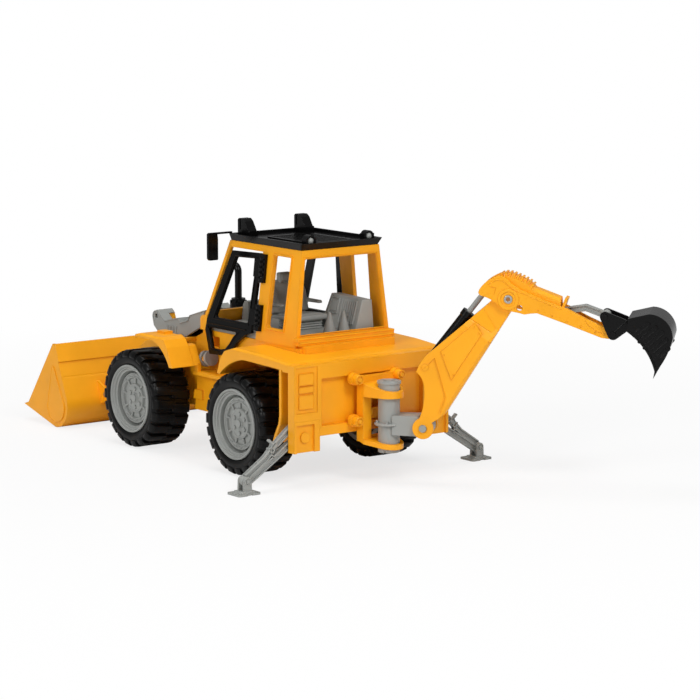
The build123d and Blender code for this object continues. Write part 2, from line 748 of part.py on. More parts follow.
def make_door_hinges():
    """Two hinge blocks with their pins on the left B-pillar."""
    normal = Vector(0, math.cos(lean), math.sin(lean))
    with BuildPart() as hinges:
        for low, high in ((126, 140), (168, 184)):
            for start, end in ((low - 4.4, low - 0.4), (high + 0.4, high + 4.4)):
                with BuildSketch(door_plane(0)):
                    door_face([(10.6, start), (door_hinge_x + 1.4, start),
                               (door_hinge_x + 1.4, end), (10.6, end)])
                extrude(amount=3.8)
            with BuildSketch(door_plane(0)):
                door_face([(10.6, low - 4), (14.4, low - 4), (14.4, high + 4), (10.6, high + 4)])
            extrude(amount=2.6)
            tilt = Plane(
                origin=Vector(door_hinge_x, cab_side_y(low - 3), low - 3) + normal * 2.1,
                x_dir=(1, 0, 0), z_dir=(0, -math.sin(lean), math.cos(lean)),
            )
            with BuildSketch(tilt):
                Circle(0.8)
            extrude(amount=high - low + 6)
    return hinges.part


door = make_door()
save(door, "door_left")
save(mirrored(door), "door_right")
door_hinges = make_door_hinges()
save(door_hinges + mirrored(door_hinges), "door_hinges")


# ---------------------------------------------------------------- cab interior
with BuildPart() as seat:
    # sprung base with bellows folds
    for step in range(4):
        with Locations((21, 0, cab_floor_top + 1.1 + 2.2 * step)):
            Box(28 - 1.5 * (step % 2), 30 - 1.5 * (step % 2), 2.2)
    with BuildSketch(side(19)):
        Polygon(
            (4, 128.2), (6.5, 131.6), (38, 129), (39.5, 134), (45.6, 160.5), (50.4, 160.5),
            (50.8, 142), (46.5, 127.6), (36, 126.6), (8, 126.6), align=None,
        )
    extrude(amount=38)
    with BuildSketch(Plane.YZ.offset(30)):
        Polygon((-30, 158), (-14, 165), (-11, 157), (-19.4, 138), (-30, 138), align=None)
        Polygon((30, 158), (14, 165), (11, 157), (19.4, 138), (30, 138), align=None)
    extrude(amount=26, mode=Mode.SUBTRACT)
    # headrest
    with BuildSketch(side(7.5)):
        Polygon((41.8, 156.5), (43.4, 167), (49.4, 167), (49.8, 156.5), align=None)
        fillet(vertices(), 1.4)
    extrude(amount=15)
    # armrests on short posts
    for sign in (1, -1):
        with BuildSketch(side(sign * 21 + 2.4)):
            Polygon(
                (19, 139.4), (21, 142.4), (44, 142.4), (47, 137), (44, 134.5), (41, 139), align=None
            )
        extrude(amount=4.8)
        with Locations((44.5, sign * 18.6, 137)):
            Box(4, 3, 5)
save(seat.part, "seat")

with BuildPart() as side_console:
    with BuildSketch(side(-19)):
        Polygon(
            (-34.5, cab_floor_top), (-34.5, 136), (-31, 141), (-6, 149.4), (10, 150), (14.5, 147),
            (20, cab_floor_top + 6), (20, cab_floor_top), align=None,
        )
        fillet(vertices().sort_by(Axis.Z)[-4:], 1.2)
    extrude(amount=21)
    with BuildSketch(Plane.YZ.offset(-40)):
        Polygon((-18, 118), (-18, 152), (-27.5, 152), (-19, 121), align=None)
    extrude(amount=70, mode=Mode.SUBTRACT)
    # the cushioned top is undercut where the cab side leans in
    with BuildSketch(Plane.YZ.offset(-40)):
        Polygon((-39.6, 118), (-41.5, 118), (-41.5, 152), (-36.4, 152), align=None)
    extrude(amount=70, mode=Mode.SUBTRACT)
save(side_console.part, "side_console")

with BuildPart() as lever_boots:
    for y in (3.0, -12.4):
        with BuildSketch(Plane.XZ.offset(-y)):
            Polygon(
                (0, cab_floor_top), (6.2, cab_floor_top), (5.4, cab_floor_top + 3), (1.9, 135),
                (1.2, 138.5), (0, 138.5), align=None,
            )
        revolve(axis=Axis((0, y, 0), (0, 0, 1)))
    boots = lever_boots.part
save(boots.moved(Location((-25, 0, 0))), "lever_boots")


# ---------------------------------------------------------------- hood and exhaust
hood_top = [(113.4, 127.9), (137.1, 121.0), (140.3, 115.4), (152.6, 112.2), (156.4, 116.2), (179, 111)]
with BuildPart() as hood:
    with BuildSketch(side(hood_half)):
        Polygon(
            *hood_top, (190.2, 120), (194.6, 118.6), (198.4, 112.6), (196.2, 105), (187, 98),
            (176, 97.6), (144.4, 99.7), (119.9, 111.3), (117.5, 117.6), (113.7, 124.5), align=None,
        )
    extrude(amount=2 * hood_half)
    with BuildSketch(side(hood_half - hood_wall)):
        with BuildLine():
            under = Polyline(*[(x, z - hood_wall * 1.1) for x, z in hood_top])
            Polyline(under @ 1, (181, 108.6), (181, 80), (100, 80), (100, 129), under @ 0)
        make_face()
    extrude(amount=2 * (hood_half - hood_wall), mode=Mode.SUBTRACT)
    with BuildSketch(side(ear_inner)):
        Polygon((179, 90), (210, 90), (210, 130), (179, 130), align=None)
    extrude(amount=2 * ear_inner, mode=Mode.SUBTRACT)
    # side mouldings: four upright ribs and the long upper panel
    for sign in (1, -1):
        with BuildSketch(side(hood_half + 0.5 if sign > 0 else -hood_half + 0.3)):
            with Locations((165.8, 103.8)):
                with GridLocations(4.7, 0, 4, 1):
                    RectangleRounded(1.8, 9, 0.8)
        extrude(amount=0.8)
    with BuildSketch(side(28)):
        with Locations((142.4, 114.9), (146.6, 113.8), (150.8, 112.7)):
            Circle(0.9)
    extrude(amount=56)
    with BuildSketch(side(hood_half + 1)):
        with Locations((hood_pin_x, hood_pin_z)):
            Circle(hood_pin_radius + running_gap)
    extrude(amount=2 * hood_half + 2, mode=Mode.SUBTRACT)
    chamfer(hood.edges().filter_by(Axis.X, tolerance=20).group_by(Axis.Z)[-1], 0.8)
save(hood.part, "hood")

with BuildPart() as hood_pin:
    with Locations(Location((hood_pin_x, 0, hood_pin_z), (90, 0, 0))):
        Cylinder(hood_pin_radius, 2 * hood_half - 2)
save(hood_pin.part, "hood_pin")

with BuildPart() as exhaust_stack:
    with Locations((162, -32.0, 119.5)):
        Cylinder(8.0, 13)
    with Locations((162, -32.0, 127)):
        Cylinder(6.6, 2)
    with BuildSketch(Plane.XY.offset(127)):
        with Locations((162, -32.0)):
            with PolarLocations(7.4, 8):
                Rectangle(2.0, 2.4)
    extrude(amount=-3, mode=Mode.SUBTRACT)
    with BuildLine() as pipe:
        FilletPolyline((162, -32, 127), (162, -32, 158.4), (174, -32, 158.4), radius=6)
    with BuildSketch(Plane(origin=(162, -32, 127), z_dir=(0, 0, 1))):
        Circle(3.3)
    sweep(path=pipe.line)
    # the base stands on the hood's slope
    with BuildSketch(side(-20)):
        Polygon((150, 105), (175, 105), (175, 112.0), (156.4, 116.3), (150, 117.8), align=None)
    extrude(amount=24, mode=Mode.SUBTRACT)
save(exhaust_stack.part, "exhaust_stack")


# ---------------------------------------------------------------- front loader
arm_thick = arm_outer - arm_inner
arm_mid = (arm_inner + arm_outer) / 2
arm_knee = (196, 83)
arm_bend = (222, 66)

with BuildPart() as loader_arms:
    for sign in (1, -1):
        with BuildSketch(side(sign * arm_mid + arm_thick / 2)):
            hull(((loader_pivot_x, loader_pivot_z), 8), (arm_knee, 8))
            hull((arm_knee, 8), (arm_bend, 7.5))
            hull((arm_bend, 7.5), ((bucket_pin_x, bucket_pin_z), 5.8))
            hull(((loader_pivot_x, loader_pivot_z), 8), ((ram_eye_x, ram_eye_z), 5.2))
        extrude(amount=arm_thick)
    # fork slots under the hubs for the eyes of the lift rams
    for sign in (1, -1):
        with BuildSketch(side(sign * ram_y + 1.8)):
            with Locations((ram_eye_x, ram_eye_z)):
                Circle(6.2)
                Polygon((-20, -6.2), (0, -6.2), (1.9, 1.5), (-17, 24.3), (-20, 24.3), align=None)
        extrude(amount=3.6, mode=Mode.SUBTRACT)
        with Locations(Location((ram_eye_x, sign * ram_y, ram_eye_z), (90, 0, 0))):
            Cylinder(ram_pin_radius, arm_thick - 0.4)
    with BuildSketch(side(arm_outer + 1)):
        with Locations((loader_pivot_x, loader_pivot_z)):
            Circle(trunnion_radius + running_gap)
        with Locations((bucket_pin_x, bucket_pin_z)):
            Circle(axle_radius + 0.05)
    extrude(amount=2 * arm_outer + 2, mode=Mode.SUBTRACT)
    # cross tube ahead of the nose
    with Locations(Location((arm_bend[0], 0, arm_bend[1]), (90, 0, 0))):
        Cylinder(5, 2 * arm_inner + 1)
save(loader_arms.part, "loader_arms")

with BuildPart() as loader_pins:
    for sign in (1, -1):
        with Locations(Location((bucket_pin_x, sign * arm_mid, bucket_pin_z), (90, 0, 0))):
            Cylinder(axle_radius, arm_thick + 7)
save(loader_pins.part, "loader_pins")


def loader_bucket_back():
    """The bucket's outer skin line from its top edge round the heel to the cutting lip."""
    with BuildLine() as skin:
        back = Polyline((294.2, 79.6), (288.4, 62.8), (275.2, 31))
        heel = ThreePointArc(back @ 1, (277.0, 8.4), (294.3, 0.02))
        Line(heel @ 1, (351.6, 15.1))
    return skin.line


with BuildPart() as loader_bucket:
    with BuildSketch(side(bucket_half)):
        with BuildLine():
            add(loader_bucket_back())
            Polyline((351.6, 15.1), (343.5, 17.6), (297.6, 79.6), (294.2, 79.6))
        make_face()
    extrude(amount=2 * bucket_half)
    with BuildSketch(side(bucket_half - bucket_wall)):
        with BuildLine():
            Polyline(
                (297.2, 90), (290.9, 62.2), (278.2, 31.6)
            )
            ThreePointArc((278.2, 31.6), (279.6, 10.6), (294.2, 2.7))
            Polyline((294.2, 2.7), (352, 17.0), (352, 90), (297.2, 90))
        make_face()
    extrude(amount=2 * (bucket_half - bucket_wall), mode=Mode.SUBTRACT)
    # stiffening band along the top of the back, stepped out from the skin
    with BuildSketch(side(bucket_half)):
        Polygon((294.2, 79.6), (288.4, 62.8), (287.2, 63.2), (293.0, 80.0), align=None)
    extrude(amount=2 * bucket_half)
    # raised drop-shaped panel on each cheek
    for sign in (1, -1):
        with BuildSketch(side(bucket_half + 0.7 if sign > 0 else -bucket_half)):
            hull(((293, 20), 15), ((297.5, 57), 1.2))
            hull(((293, 20), 13.6), ((297, 52), 1.0))
        extrude(amount=0.7)
    # ears for the arms
    for sign in (1, -1):
        for inner in (arm_inner - 0.5 - 2.6, arm_outer + 0.5):
            with BuildSketch(side(sign * (inner + 1.3) + 1.3)):
                hull(((bucket_pin_x, bucket_pin_z), 5.8), ((279, 40), 3), ((276.4, 22), 2))
            extrude(amount=2.6)
    with BuildSketch(side(arm_outer + 6)):
        with Locations((bucket_pin_x, bucket_pin_z)):
            Circle(axle_radius + running_gap)
    extrude(amount=2 * arm_outer + 12, mode=Mode.SUBTRACT)
    with BuildSketch(side(bucket_half - bucket_wall)):
        Polygon((279, 31.6), (283, 50), (283, 20), (280, 14), align=None)
    extrude(amount=2 * (bucket_half - bucket_wall), mode=Mode.SUBTRACT)
save(loader_bucket.part, "loader_bucket")


def ram_plane():
    """Plane at the left ram's root; x runs along the ram towards its eye."""
    direction = Vector(ram_eye_x - ram_root_x, 0, ram_eye_z - ram_root_z)
    return Plane(origin=(ram_root_x, ram_y, ram_root_z), x_dir=direction, z_dir=(0, -1, 0))


ram_length = math.hypot(ram_eye_x - ram_root_x, ram_eye_z - ram_root_z)
barrel_length = 31.0
rod_radius = 1.5
with BuildPart() as lift_barrel:
    with BuildSketch(ram_plane()):
        Polygon(
            (-5.4, 0), (-5.4, 7.2), (-2.2, 7.2), (-2.2, 5), (1.6, 5), (1.6, 7.2), (5, 7.2),
            (5, 3.7), (barrel_length - 5, 3.7), (barrel_length - 5, 4.3), (barrel_length, 4.3),
            (barrel_length, 0), align=None,
        )
    revolve(axis=Axis(ram_plane().origin, ram_plane().x_dir))
    with BuildSketch(Plane(origin=ram_plane().origin, z_dir=(0, -1, 0)).offset(-8)):
        Circle(2.2 + running_gap)
    extrude(amount=16, mode=Mode.SUBTRACT)
    bore_plane = Plane(
        origin=ram_plane().from_local_coords((barrel_length, 0, 0)), z_dir=-ram_plane().x_dir
    )
    with BuildSketch(bore_plane):
        Circle(rod_radius + running_gap)
    extrude(amount=barrel_length - 10, mode=Mode.SUBTRACT)
save(lift_barrel.part, "lift_barrel_left")
save(mirrored(lift_barrel.part), "lift_barrel_right")

with BuildPart() as lift_rod:
    rod_plane = Plane(
        origin=ram_plane().from_local_coords((12.4, 0, 0)), z_dir=ram_plane().x_dir
    )
    with BuildSketch(rod_plane):
        Circle(rod_radius)
    extrude(amount=ram_length - 12.4 - 3.4)
    with BuildSketch(Plane(origin=(ram_eye_x, ram_y + 1.4, ram_eye_z), z_dir=(0, -1, 0))):
        Circle(4.4)
        Circle(ram_pin_radius + ram_eye_play, mode=Mode.SUBTRACT)
    extrude(amount=2.8)
save(lift_rod.part, "lift_rod_left")
save(mirrored(lift_rod.part), "lift_rod_right")


# ---------------------------------------------------------------- side-shift carriage
carriage_x = rear_x - 0.3
yoke_gap = 0.3
knob_y = 22.6
with BuildPart() as carriage:
    # upright web with its two windows
    with BuildSketch(Plane.YZ.offset(carriage_x)):
        Polygon((-18, 35), (18, 35), (18, 86), (14, 91.5), (-14, 91.5), (-18, 86), align=None)
        for sign in (1, -1):
            with Locations((sign * knob_y, 89.6), (sign * knob_y, 53.5)):
                Circle(5.4)
            with Locations((sign * 18, 88)):
                Rectangle(10, 8)
        with Locations((0, 68.5)):
            Rectangle(18, 10, mode=Mode.SUBTRACT)
        with Locations((0, 46.5)):
            Rectangle(18, 15, mode=Mode.SUBTRACT)
    extrude(amount=-5)
    for sign in (1, -1):
        with Locations((carriage_x - 6.5, sign * 13.5, 60)):
            Box(5, 9, 50)
        with Locations((carriage_x - 6.4, sign * 9.5, 60.3)):
            Box(4.8, 4.0, 5)
    # tongue that runs in the rear frame's recess
    with BuildSketch(Plane.YZ.offset(carriage_x)):
        with Locations((0, 71.7)):
            Rectangle(26, 38.6)
        with Locations((0, 66)):
            Rectangle(17, 26.6, mode=Mode.SUBTRACT)
    extrude(amount=3.4)
    # yoke plates above and below the kingpost
    with BuildSketch(side(18)):
        Polygon(
            (carriage_x - 4, 86), (carriage_x - 9, 85.4), (kingpost_x - 12.6, 79.6),
            (kingpost_x - 12.6, 74.2), (carriage_x - 4, 74.2), align=None,
        )
        Polygon(
            (carriage_x - 4, 38), (kingpost_x - 12.6, 34.4), (kingpost_x - 12.6, 30),
            (carriage_x - 9, 33.4), (carriage_x - 4, 35), align=None,
        )
    extrude(amount=36)
    with BuildSketch(Plane.XY.offset(20)):
        with Locations((kingpost_x - 4, 0)):
            Rectangle(34, 60)
        hull(
            ((kingpost_x, 0), 12.6), ((carriage_x - 8, 15.4), 3), ((carriage_x - 8, -15.4), 3),
            mode=Mode.SUBTRACT,
        )
    extrude(amount=80, mode=Mode.SUBTRACT)
    with BuildSketch(Plane.XY.offset(20)):
        with Locations((kingpost_x, 0)):
            Circle(kingpost_radius + yoke_gap)
    extrude(amount=80, mode=Mode.SUBTRACT)
save(carriage.part, "carriage")

with BuildPart() as clamp_knobs:
    for y in (knob_y, -knob_y):
        for z in (89.6, 53.5):
            with Locations(Location((carriage_x - 5 - 2.6, y, z), (0, 90, 0))):
                Cylinder(4.4, 5.2)
            with Locations(Location((carriage_x - 10.5, y, z), (0, 90, 0))):
                Cylinder(2.4, 1.0)
save(clamp_knobs.part, "clamp_knobs")

with BuildPart() as kingpost:
    with Locations((kingpost_x, 0, 56.6)):
        Cylinder(kingpost_radius, 59.4)
    with Locations((kingpost_x, 0, 87.2)):
        Cylinder(10.3, 2.0)
    with Locations((kingpost_x, 0, 88.6)):
        Cylinder(4.0, 1.2)
    with Locations((kingpost_x, 0, 51.4)):
        Cylinder(11.8, 2.6)
    # bracket out to the boom's base pin
    with BuildSketch(digging_plane(-9.8)):
        with Locations(boom_pin):
            Circle(7.8)
        Polygon((4, 43), (boom_pin[0], 42.3), (boom_pin[0] + 4, 50), (26.5, 59.8), (4, 59.8), align=None)
    extrude(amount=19.6)
    with BuildSketch(digging_plane(-12)):
        with Locations(boom_pin):
            Circle(3.2 + 0.05)
    extrude(amount=24, mode=Mode.SUBTRACT)
    with BuildSketch(Plane.XY.offset(26)):
        with Locations((kingpost_x - 4.6, 0)):
            Rectangle(1.4, 30)
    extrude(amount=3, mode=Mode.SUBTRACT)
save(kingpost.part, "kingpost")


# ---------------------------------------------------------------- backhoe boom
boom_wall = 3.2
with BuildPart() as boom:
    with BuildSketch(digging_plane(-boom_half)):
        with Locations(boom_pin):
            Circle(9)
        with BuildLine():
            start = (27.6, 57.2)
            low = Spline(start, (31.4, 68.5), (32.6, 80), (30.8, 91.6), (25.4, 98.6))
            crook = Spline(low @ 1, (28.4, 105.2), (39.5, 117.8))
            Polyline(
                crook @ 1, (86.2, 158.2), (93, 168), (103, 172), (112, 164), (104.8, 151.6),
                (52.7, 67.5), (49.8, 62.6), (38.6, 55), start,
            )
        make_face()
    extrude(amount=2 * boom_half)
    long_edges = boom.edges().filter_by(GeomType.LINE).filter_by(
        lambda edge: edge.length > 60 and abs(edge.tangent_at(0).dot(Vector(0, 0, 1))) > 0.8
    )
    chamfer(long_edges, 2.4)
    # the lower cheeks are open for the kingpost bracket, the upper trough for the ram
    with BuildSketch(digging_plane(-boom_half + boom_wall)):
        Polygon(
            (10, 36), (45, 36), (43.5, 55), (47, 66), (71.6, 105.6), (92, 137.4), (79, 158),
            (66, 152), (36, 124), (16, 118), align=None,
        )
    extrude(amount=2 * (boom_half - boom_wall), mode=Mode.SUBTRACT)
    with BuildSketch(digging_plane(-5.4)):
        with BuildLine():
            Polyline((80, 120), (60, 140), (78, 165), (88, 170))
            Line((88, 170), (90, 160))
            ThreePointArc((90, 160), (95.4, 151.6), (101, 149))
            Line((101, 149), (80, 120))
        make_face()
    extrude(amount=10.8, mode=Mode.SUBTRACT)
    # the neck narrows to fit between the arm's cheeks
    neck_start = (boom_pin[0] + 54, boom_pin[1] + 84.5)
    neck = along(neck_start, arm_pivot)
    for sign in (1, -1):
        with BuildSketch(neck.offset(-40)):
            Polygon(
                (-6, sign * (boom_half + 1)), (-6, sign * boom_half), (5, sign * boom_neck_half),
                (60, sign * boom_neck_half), (60, sign * (boom_half + 1)), align=None,
            )
        extrude(amount=80, mode=Mode.SUBTRACT)
    with BuildSketch(digging_plane(-boom_neck_half)):
        with Locations(arm_pivot):
            Circle(30)
            Circle(9.2, mode=Mode.SUBTRACT)
        with BuildLine():
            Polyline((107.5, 154.4), (104.8, 150.6), (70, 95), (60, 140), (86.5, 158.8), (97, 168.5))
            Line((97, 168.5), (107.5, 154.4))
        make_face(mode=Mode.SUBTRACT)
    extrude(amount=2 * boom_neck_half, mode=Mode.SUBTRACT)
    # bosses, pins and bores
    with BuildSketch(digging_plane(-boom_half + 1)):
        with Locations(boom_lug):
            Circle(2.4)
    extrude(amount=2 * boom_half - 2)
    for sign in (1, -1):
        with BuildSketch(digging_plane(sign * boom_half)):
            with Locations(boom_lug):
                Circle(3.0)
        extrude(amount=sign * 0.6)
        with BuildSketch(digging_plane(sign * boom_half)):
            Polygon(
                (46.4, 116.6), (75.4, 142.2), (81.4, 133.2), (55.4, 92.6), align=None
            )
        extrude(amount=sign * 0.6)
    with BuildSketch(digging_plane(-boom_half - 2)):
        with Locations(boom_pin):
            Circle(3.2 + running_gap)
        with Locations(arm_pivot):
            Circle(3.5 + 0.03)
    extrude(amount=2 * boom_half + 4, mode=Mode.SUBTRACT)
save(boom.part, "boom")

for label, centre, radius, bore, reach in (
    ("boom_base_pin", boom_pin, 3.2, 0, boom_half + 0.8),
    ("pivot_bushing", arm_pivot, 3.5, 1.8, cheek_half + 1.0),
):
    with BuildPart() as pin:
        with BuildSketch(digging_plane(-reach)):
            with Locations(centre):
                Circle(radius)
                if bore:
                    Circle(bore, mode=Mode.SUBTRACT)
        extrude(amount=2 * reach)
    save(pin.part, label)


# ---------------------------------------------------------------- dipper ram
dipper_line = along(boom_lug, rod_eye)
dipper_length = math.hypot(rod_eye[0] - boom_lug[0], rod_eye[1] - boom_lug[1])
gland_end = 58.4
with BuildPart() as dipper_barrel:
    with BuildSketch(dipper_line):
        Polygon(
            (0, 0), (0, 4.9), (12, 5.1), (gland_end - 6, 5.1), (gland_end - 5.4, 5.7),
            (gland_end, 5.7), (gland_end, 0), align=None,
        )
    revolve(axis=Axis(dipper_line.origin, dipper_line.x_dir))
    with BuildSketch(digging_plane(-4.6)):
        with Locations(boom_lug):
            Circle(5)
    extrude(amount=9.2)
    with BuildSketch(digging_plane(-10)):
        with Locations(boom_lug):
            Circle(2.4 + running_gap)
    extrude(amount=20, mode=Mode.SUBTRACT)
    with BuildSketch(Plane(origin=dipper_line.from_local_coords((8, 0, 0)), z_dir=dipper_line.x_dir)):
        Circle(2.4 + running_gap)
    extrude(amount=60, mode=Mode.SUBTRACT)
save(dipper_barrel.part, "dipper_barrel")

with BuildPart() as dipper_rod:
    with BuildSketch(Plane(origin=dipper_line.from_local_coords((24, 0, 0)), z_dir=dipper_line.x_dir)):
        Circle(2.4)
    extrude(amount=dipper_length - 24 - 2.5)
    with BuildSketch(digging_plane(-3.4)):
        with Locations(rod_eye):
            Circle(4.2)
            Circle(2.0, mode=Mode.SUBTRACT)
    extrude(amount=6.8)
save(dipper_rod.part, "dipper_rod")


# ---------------------------------------------------------------- dipper arm
arm_inner_half = 9.2
channel_half = 6.0
with BuildPart() as arm:
    with BuildSketch(digging_plane(-cheek_half)):
        with BuildLine():
            head = Spline((78.2, 169.4), (82.1, 174.6), (88.7, 179.4), (94.6, 182.2))
            brow = Spline(head @ 1, (100.4, 180.3), (105.6, 175.4))
            Polyline(
                brow @ 1, (113.4, 170.7), (134.5, 161.7), (152, 155.4), (168, 147.2), (178, 142.8),
                (187, 138.6), (193.6, 137.4), (194.2, 132), (187, 130.6), (181, 131.2),
                (149.8, 143.0), (127.1, 151.0), (122, 150.6), (116.5, 149.7),
            )
            hang = Spline((116.5, 149.7), (108.2, 151.6), (101.5, 153.1), (92, 159.2), (84.6, 163.4))
            Polyline(hang @ 1, (79.4, 165), (77.6, 167), head @ 0)
        make_face()
    extrude(amount=2 * cheek_half)
    # outer sides taper to the bucket end
    taper = along((118, 157.6), bucket_pin)
    for sign in (1, -1):
        with BuildSketch(taper.offset(-40)):
            Polygon(
                (0, sign * cheek_half), (62, sign * tip_half), (90, sign * tip_half),
                (90, sign * (cheek_half + 2)), (0, sign * (cheek_half + 2)), align=None,
            )
        extrude(amount=80, mode=Mode.SUBTRACT)
    # head is open below for the boom's eye and above for the crown
    with BuildSketch(digging_plane(-arm_inner_half)):
        Polygon(
            (70, 150), (118, 140), (119, 150), (119, 190), (70, 190), align=None
        )
    extrude(amount=2 * arm_inner_half, mode=Mode.SUBTRACT)
    # trough along the beam
    with BuildSketch(digging_plane(-channel_half)):
        Polygon(
            (117, 152.8), (127.6, 152.8), (150.3, 144.5), (181.8, 132.9), (200, 132.9), (200, 180),
            (117, 180), align=None,
        )
    extrude(amount=2 * channel_half, mode=Mode.SUBTRACT)
    with BuildSketch(digging_plane(-arm_inner_half)):
        Polygon((118, 163.2), (150.4, 151.4), (154, 175), (118, 190), align=None)
    extrude(amount=2 * arm_inner_half, mode=Mode.SUBTRACT)
    # pin sleeve at the bucket end
    with BuildSketch(digging_plane(-tip_half)):
        with Locations(bucket_pin):
            Circle(4.6)
    extrude(amount=2 * tip_half)
    for sign in (1, -1):
        with BuildSketch(digging_plane(sign * cheek_half)):
            with Locations(arm_pivot):
                Circle(9)
                Circle(6.4, mode=Mode.SUBTRACT)
        extrude(amount=sign * 0.6)
    with BuildSketch(digging_plane(-cheek_half - 1)):
        with Locations(arm_pivot):
            Circle(3.5 + running_gap)
        with Locations((112.4, 155.1)):
            Circle(2.5)
        with Locations(bucket_pin):
            Circle(2.0 + running_gap)
    extrude(amount=2 * cheek_half + 2, mode=Mode.SUBTRACT)
save(arm.part, "arm")

rib_count = 9
with BuildPart() as arm_crown:
    with BuildSketch(digging_plane(-arm_inner_half + 0.1)):
        with BuildLine():
            dome = Spline((94.8, 181.6), (100.9, 183.4), (110.4, 180.9), (120.4, 176), (125, 171.6))
            Polyline(
                dome @ 1, (146.6, 163.6), (146.6, 153.4), (119.4, 163.4), (113.6, 169.4),
                (105.6, 174), (100.4, 179), dome @ 0,
            )
        make_face()
    extrude(amount=2 * arm_inner_half - 0.2)
    shoulder = arm_crown.edges().filter_by(
        lambda edge: edge.center().Z > 163 and edge.length > 15
        and abs(digging_plane().to_local_coords(edge.center()).Z) > arm_inner_half - 0.2
    ).filter_by(lambda edge: digging_plane().to_local_coords(edge.center()).Y > 165.4)
    chamfer(shoulder.sort_by(Axis.Z)[-4:], 2.6)
    # hollow for the link's inner end
    with BuildSketch(digging_plane(-channel_half)):
        Polygon((110, 150), (150, 136), (150, 159.6), (119, 170), (110, 168), align=None)
    extrude(amount=2 * channel_half, mode=Mode.SUBTRACT)
    # crosswise ribs over the crown
    for number in range(rib_count):
        share = (number + 0.7) / (rib_count + 0.6)
        crest = dome @ share
        fall = dome % share
        with BuildSketch(digging_plane(-arm_inner_half + 0.1)):
            with Locations(Location((crest.X, crest.Y, 0), (0, 0, math.degrees(math.atan2(fall.Y, fall.X))))):
                with Locations((0, -1.6)):
                    Rectangle(1.7, 5.4)
        extrude(amount=2 * arm_inner_half - 0.2)
    # flange that closes the cover
    with BuildSketch(along((147.8, 153.6), (157.2, 150.2))):
        Rectangle(2.4, 2 * arm_inner_half - 0.2)
    extrude(amount=-10.6)
    with BuildSketch(digging_plane(-channel_half)):
        Polygon((143, 140), (154, 140), (154, 158.0), (143, 161.0), align=None)
    extrude(amount=2 * channel_half, mode=Mode.SUBTRACT)
save(arm_crown.part, "arm_crown")

with BuildPart() as bucket_link:
    with BuildSketch(digging_plane(-2.8)):
        hull((link_inner, 2.6), ((152, 153.0), 2.6))
        hull(((152, 153.0), 2.6), ((167.2, 155.4), 2.8))
        hull(((167.2, 155.4), 2.8), (link_pin, 2.8))
        with Locations(link_pin):
            Circle(3.6)
    extrude(amount=5.6)
    for w, depth in ((-2.8, 1.0), (2.8, -1.0)):
        with BuildSketch(digging_plane(w)):
            hull(((152.6, 153.1), 1.5), ((166.8, 155.3), 1.5))
            hull(((166.8, 155.3), 1.5), ((179, 151.4), 1.5))
        extrude(amount=depth, mode=Mode.SUBTRACT)
    with BuildSketch(digging_plane(-8.6)):
        with Locations(link_pin):
            Circle(3.6)
    extrude(amount=17.2)
    with BuildSketch(digging_plane(-9)):
        with Locations(link_pin):
            Circle(2.0 + running_gap)
    extrude(amount=18, mode=Mode.SUBTRACT)
save(bucket_link.part, "bucket_link")


# ---------------------------------------------------------------- backhoe bucket
digger_wall = 2.0
with BuildPart() as digger_bucket:
    with BuildSketch(digging_plane(-digger_half)):
        with BuildLine():
            top = Polyline((203.4, 139), (204, 150.1), (221.4, 154.3))
            crest = ThreePointArc(top @ 1, (236.2, 147.6), (241.3, 134.6))
            heel = ThreePointArc(crest @ 1, (238.0, 123.6), (231.6, 111.4))
            Polyline(heel @ 1, (225.5, 100.2), (226.6, 106.4))
            ThreePointArc((226.6, 106.4), (219.3, 122.9), top @ 0)
        make_face()
    extrude(amount=2 * digger_half)
    with BuildSketch(digging_plane(-digger_half + digger_wall)):
        with BuildLine():
            top = Polyline((205.6, 128), (206, 148.5), (221.3, 152.2))
            crest = ThreePointArc(top @ 1, (234.6, 146.4), (239.2, 134.5))
            heel = ThreePointArc(crest @ 1, (236.0, 124.4), (229.8, 112.4))
            Polyline(heel @ 1, (225.3, 103.6), (215, 103.6), (205.6, 128))
        make_face()
    extrude(amount=2 * (digger_half - digger_wall), mode=Mode.SUBTRACT)
    # notches that leave the teeth standing
    with BuildSketch(along((224, 97.6), (229, 107))):
        with Locations(*[(2.2, w) for w in (-14.4, -4.8, 4.8, 14.4)]):
            Trapezoid(5.4, 6.2, 72, rotation=-90)
    extrude(amount=14, both=True, mode=Mode.SUBTRACT)
    # raised loops on both cheeks
    for sign in (1, -1):
        with BuildSketch(digging_plane(sign * digger_half)):
            for number in range(5):
                foot = (209.4 + 4.3 * number, 136.2 - 5.0 * number)
                reach = 11.6 + 4.4 * math.sin(math.pi * number / 4)
                tip = (foot[0] + 0.71 * reach + 3, foot[1] + 0.71 * reach + 1.6)
                hull((foot, 1.5), (tip, 1.5))
        extrude(amount=sign * 0.5)
    # bracket cheeks for the two pins
    for sign in (1, -1):
        with BuildSketch(digging_plane(sign * (tip_half + 0.5))):
            hull((link_pin, 4.2), (bucket_pin, 4.8), ((200.6, 146.4), 1.2), ((202.8, 139.4), 1.2))
        extrude(amount=sign * 2.4)
    with BuildSketch(digging_plane(-tip_half - 2.9)):
        with Locations(link_pin, bucket_pin):
            Circle(2.0 + 0.03)
    extrude(amount=2 * tip_half + 5.8, mode=Mode.SUBTRACT)
    with BuildSketch(digging_plane(-tip_half - 0.5)):
        with Locations(bucket_pin):
            Circle(11.4)
    extrude(amount=2 * tip_half + 1, mode=Mode.SUBTRACT)
save(digger_bucket.part, "digger_bucket")

with BuildPart() as bucket_pins:
    with BuildSketch(digging_plane(-tip_half - 3.4)):
        with Locations(link_pin, bucket_pin):
            Circle(2.0)
    extrude(amount=2 * tip_half + 6.8)
save(bucket_pins.part, "bucket_pins")


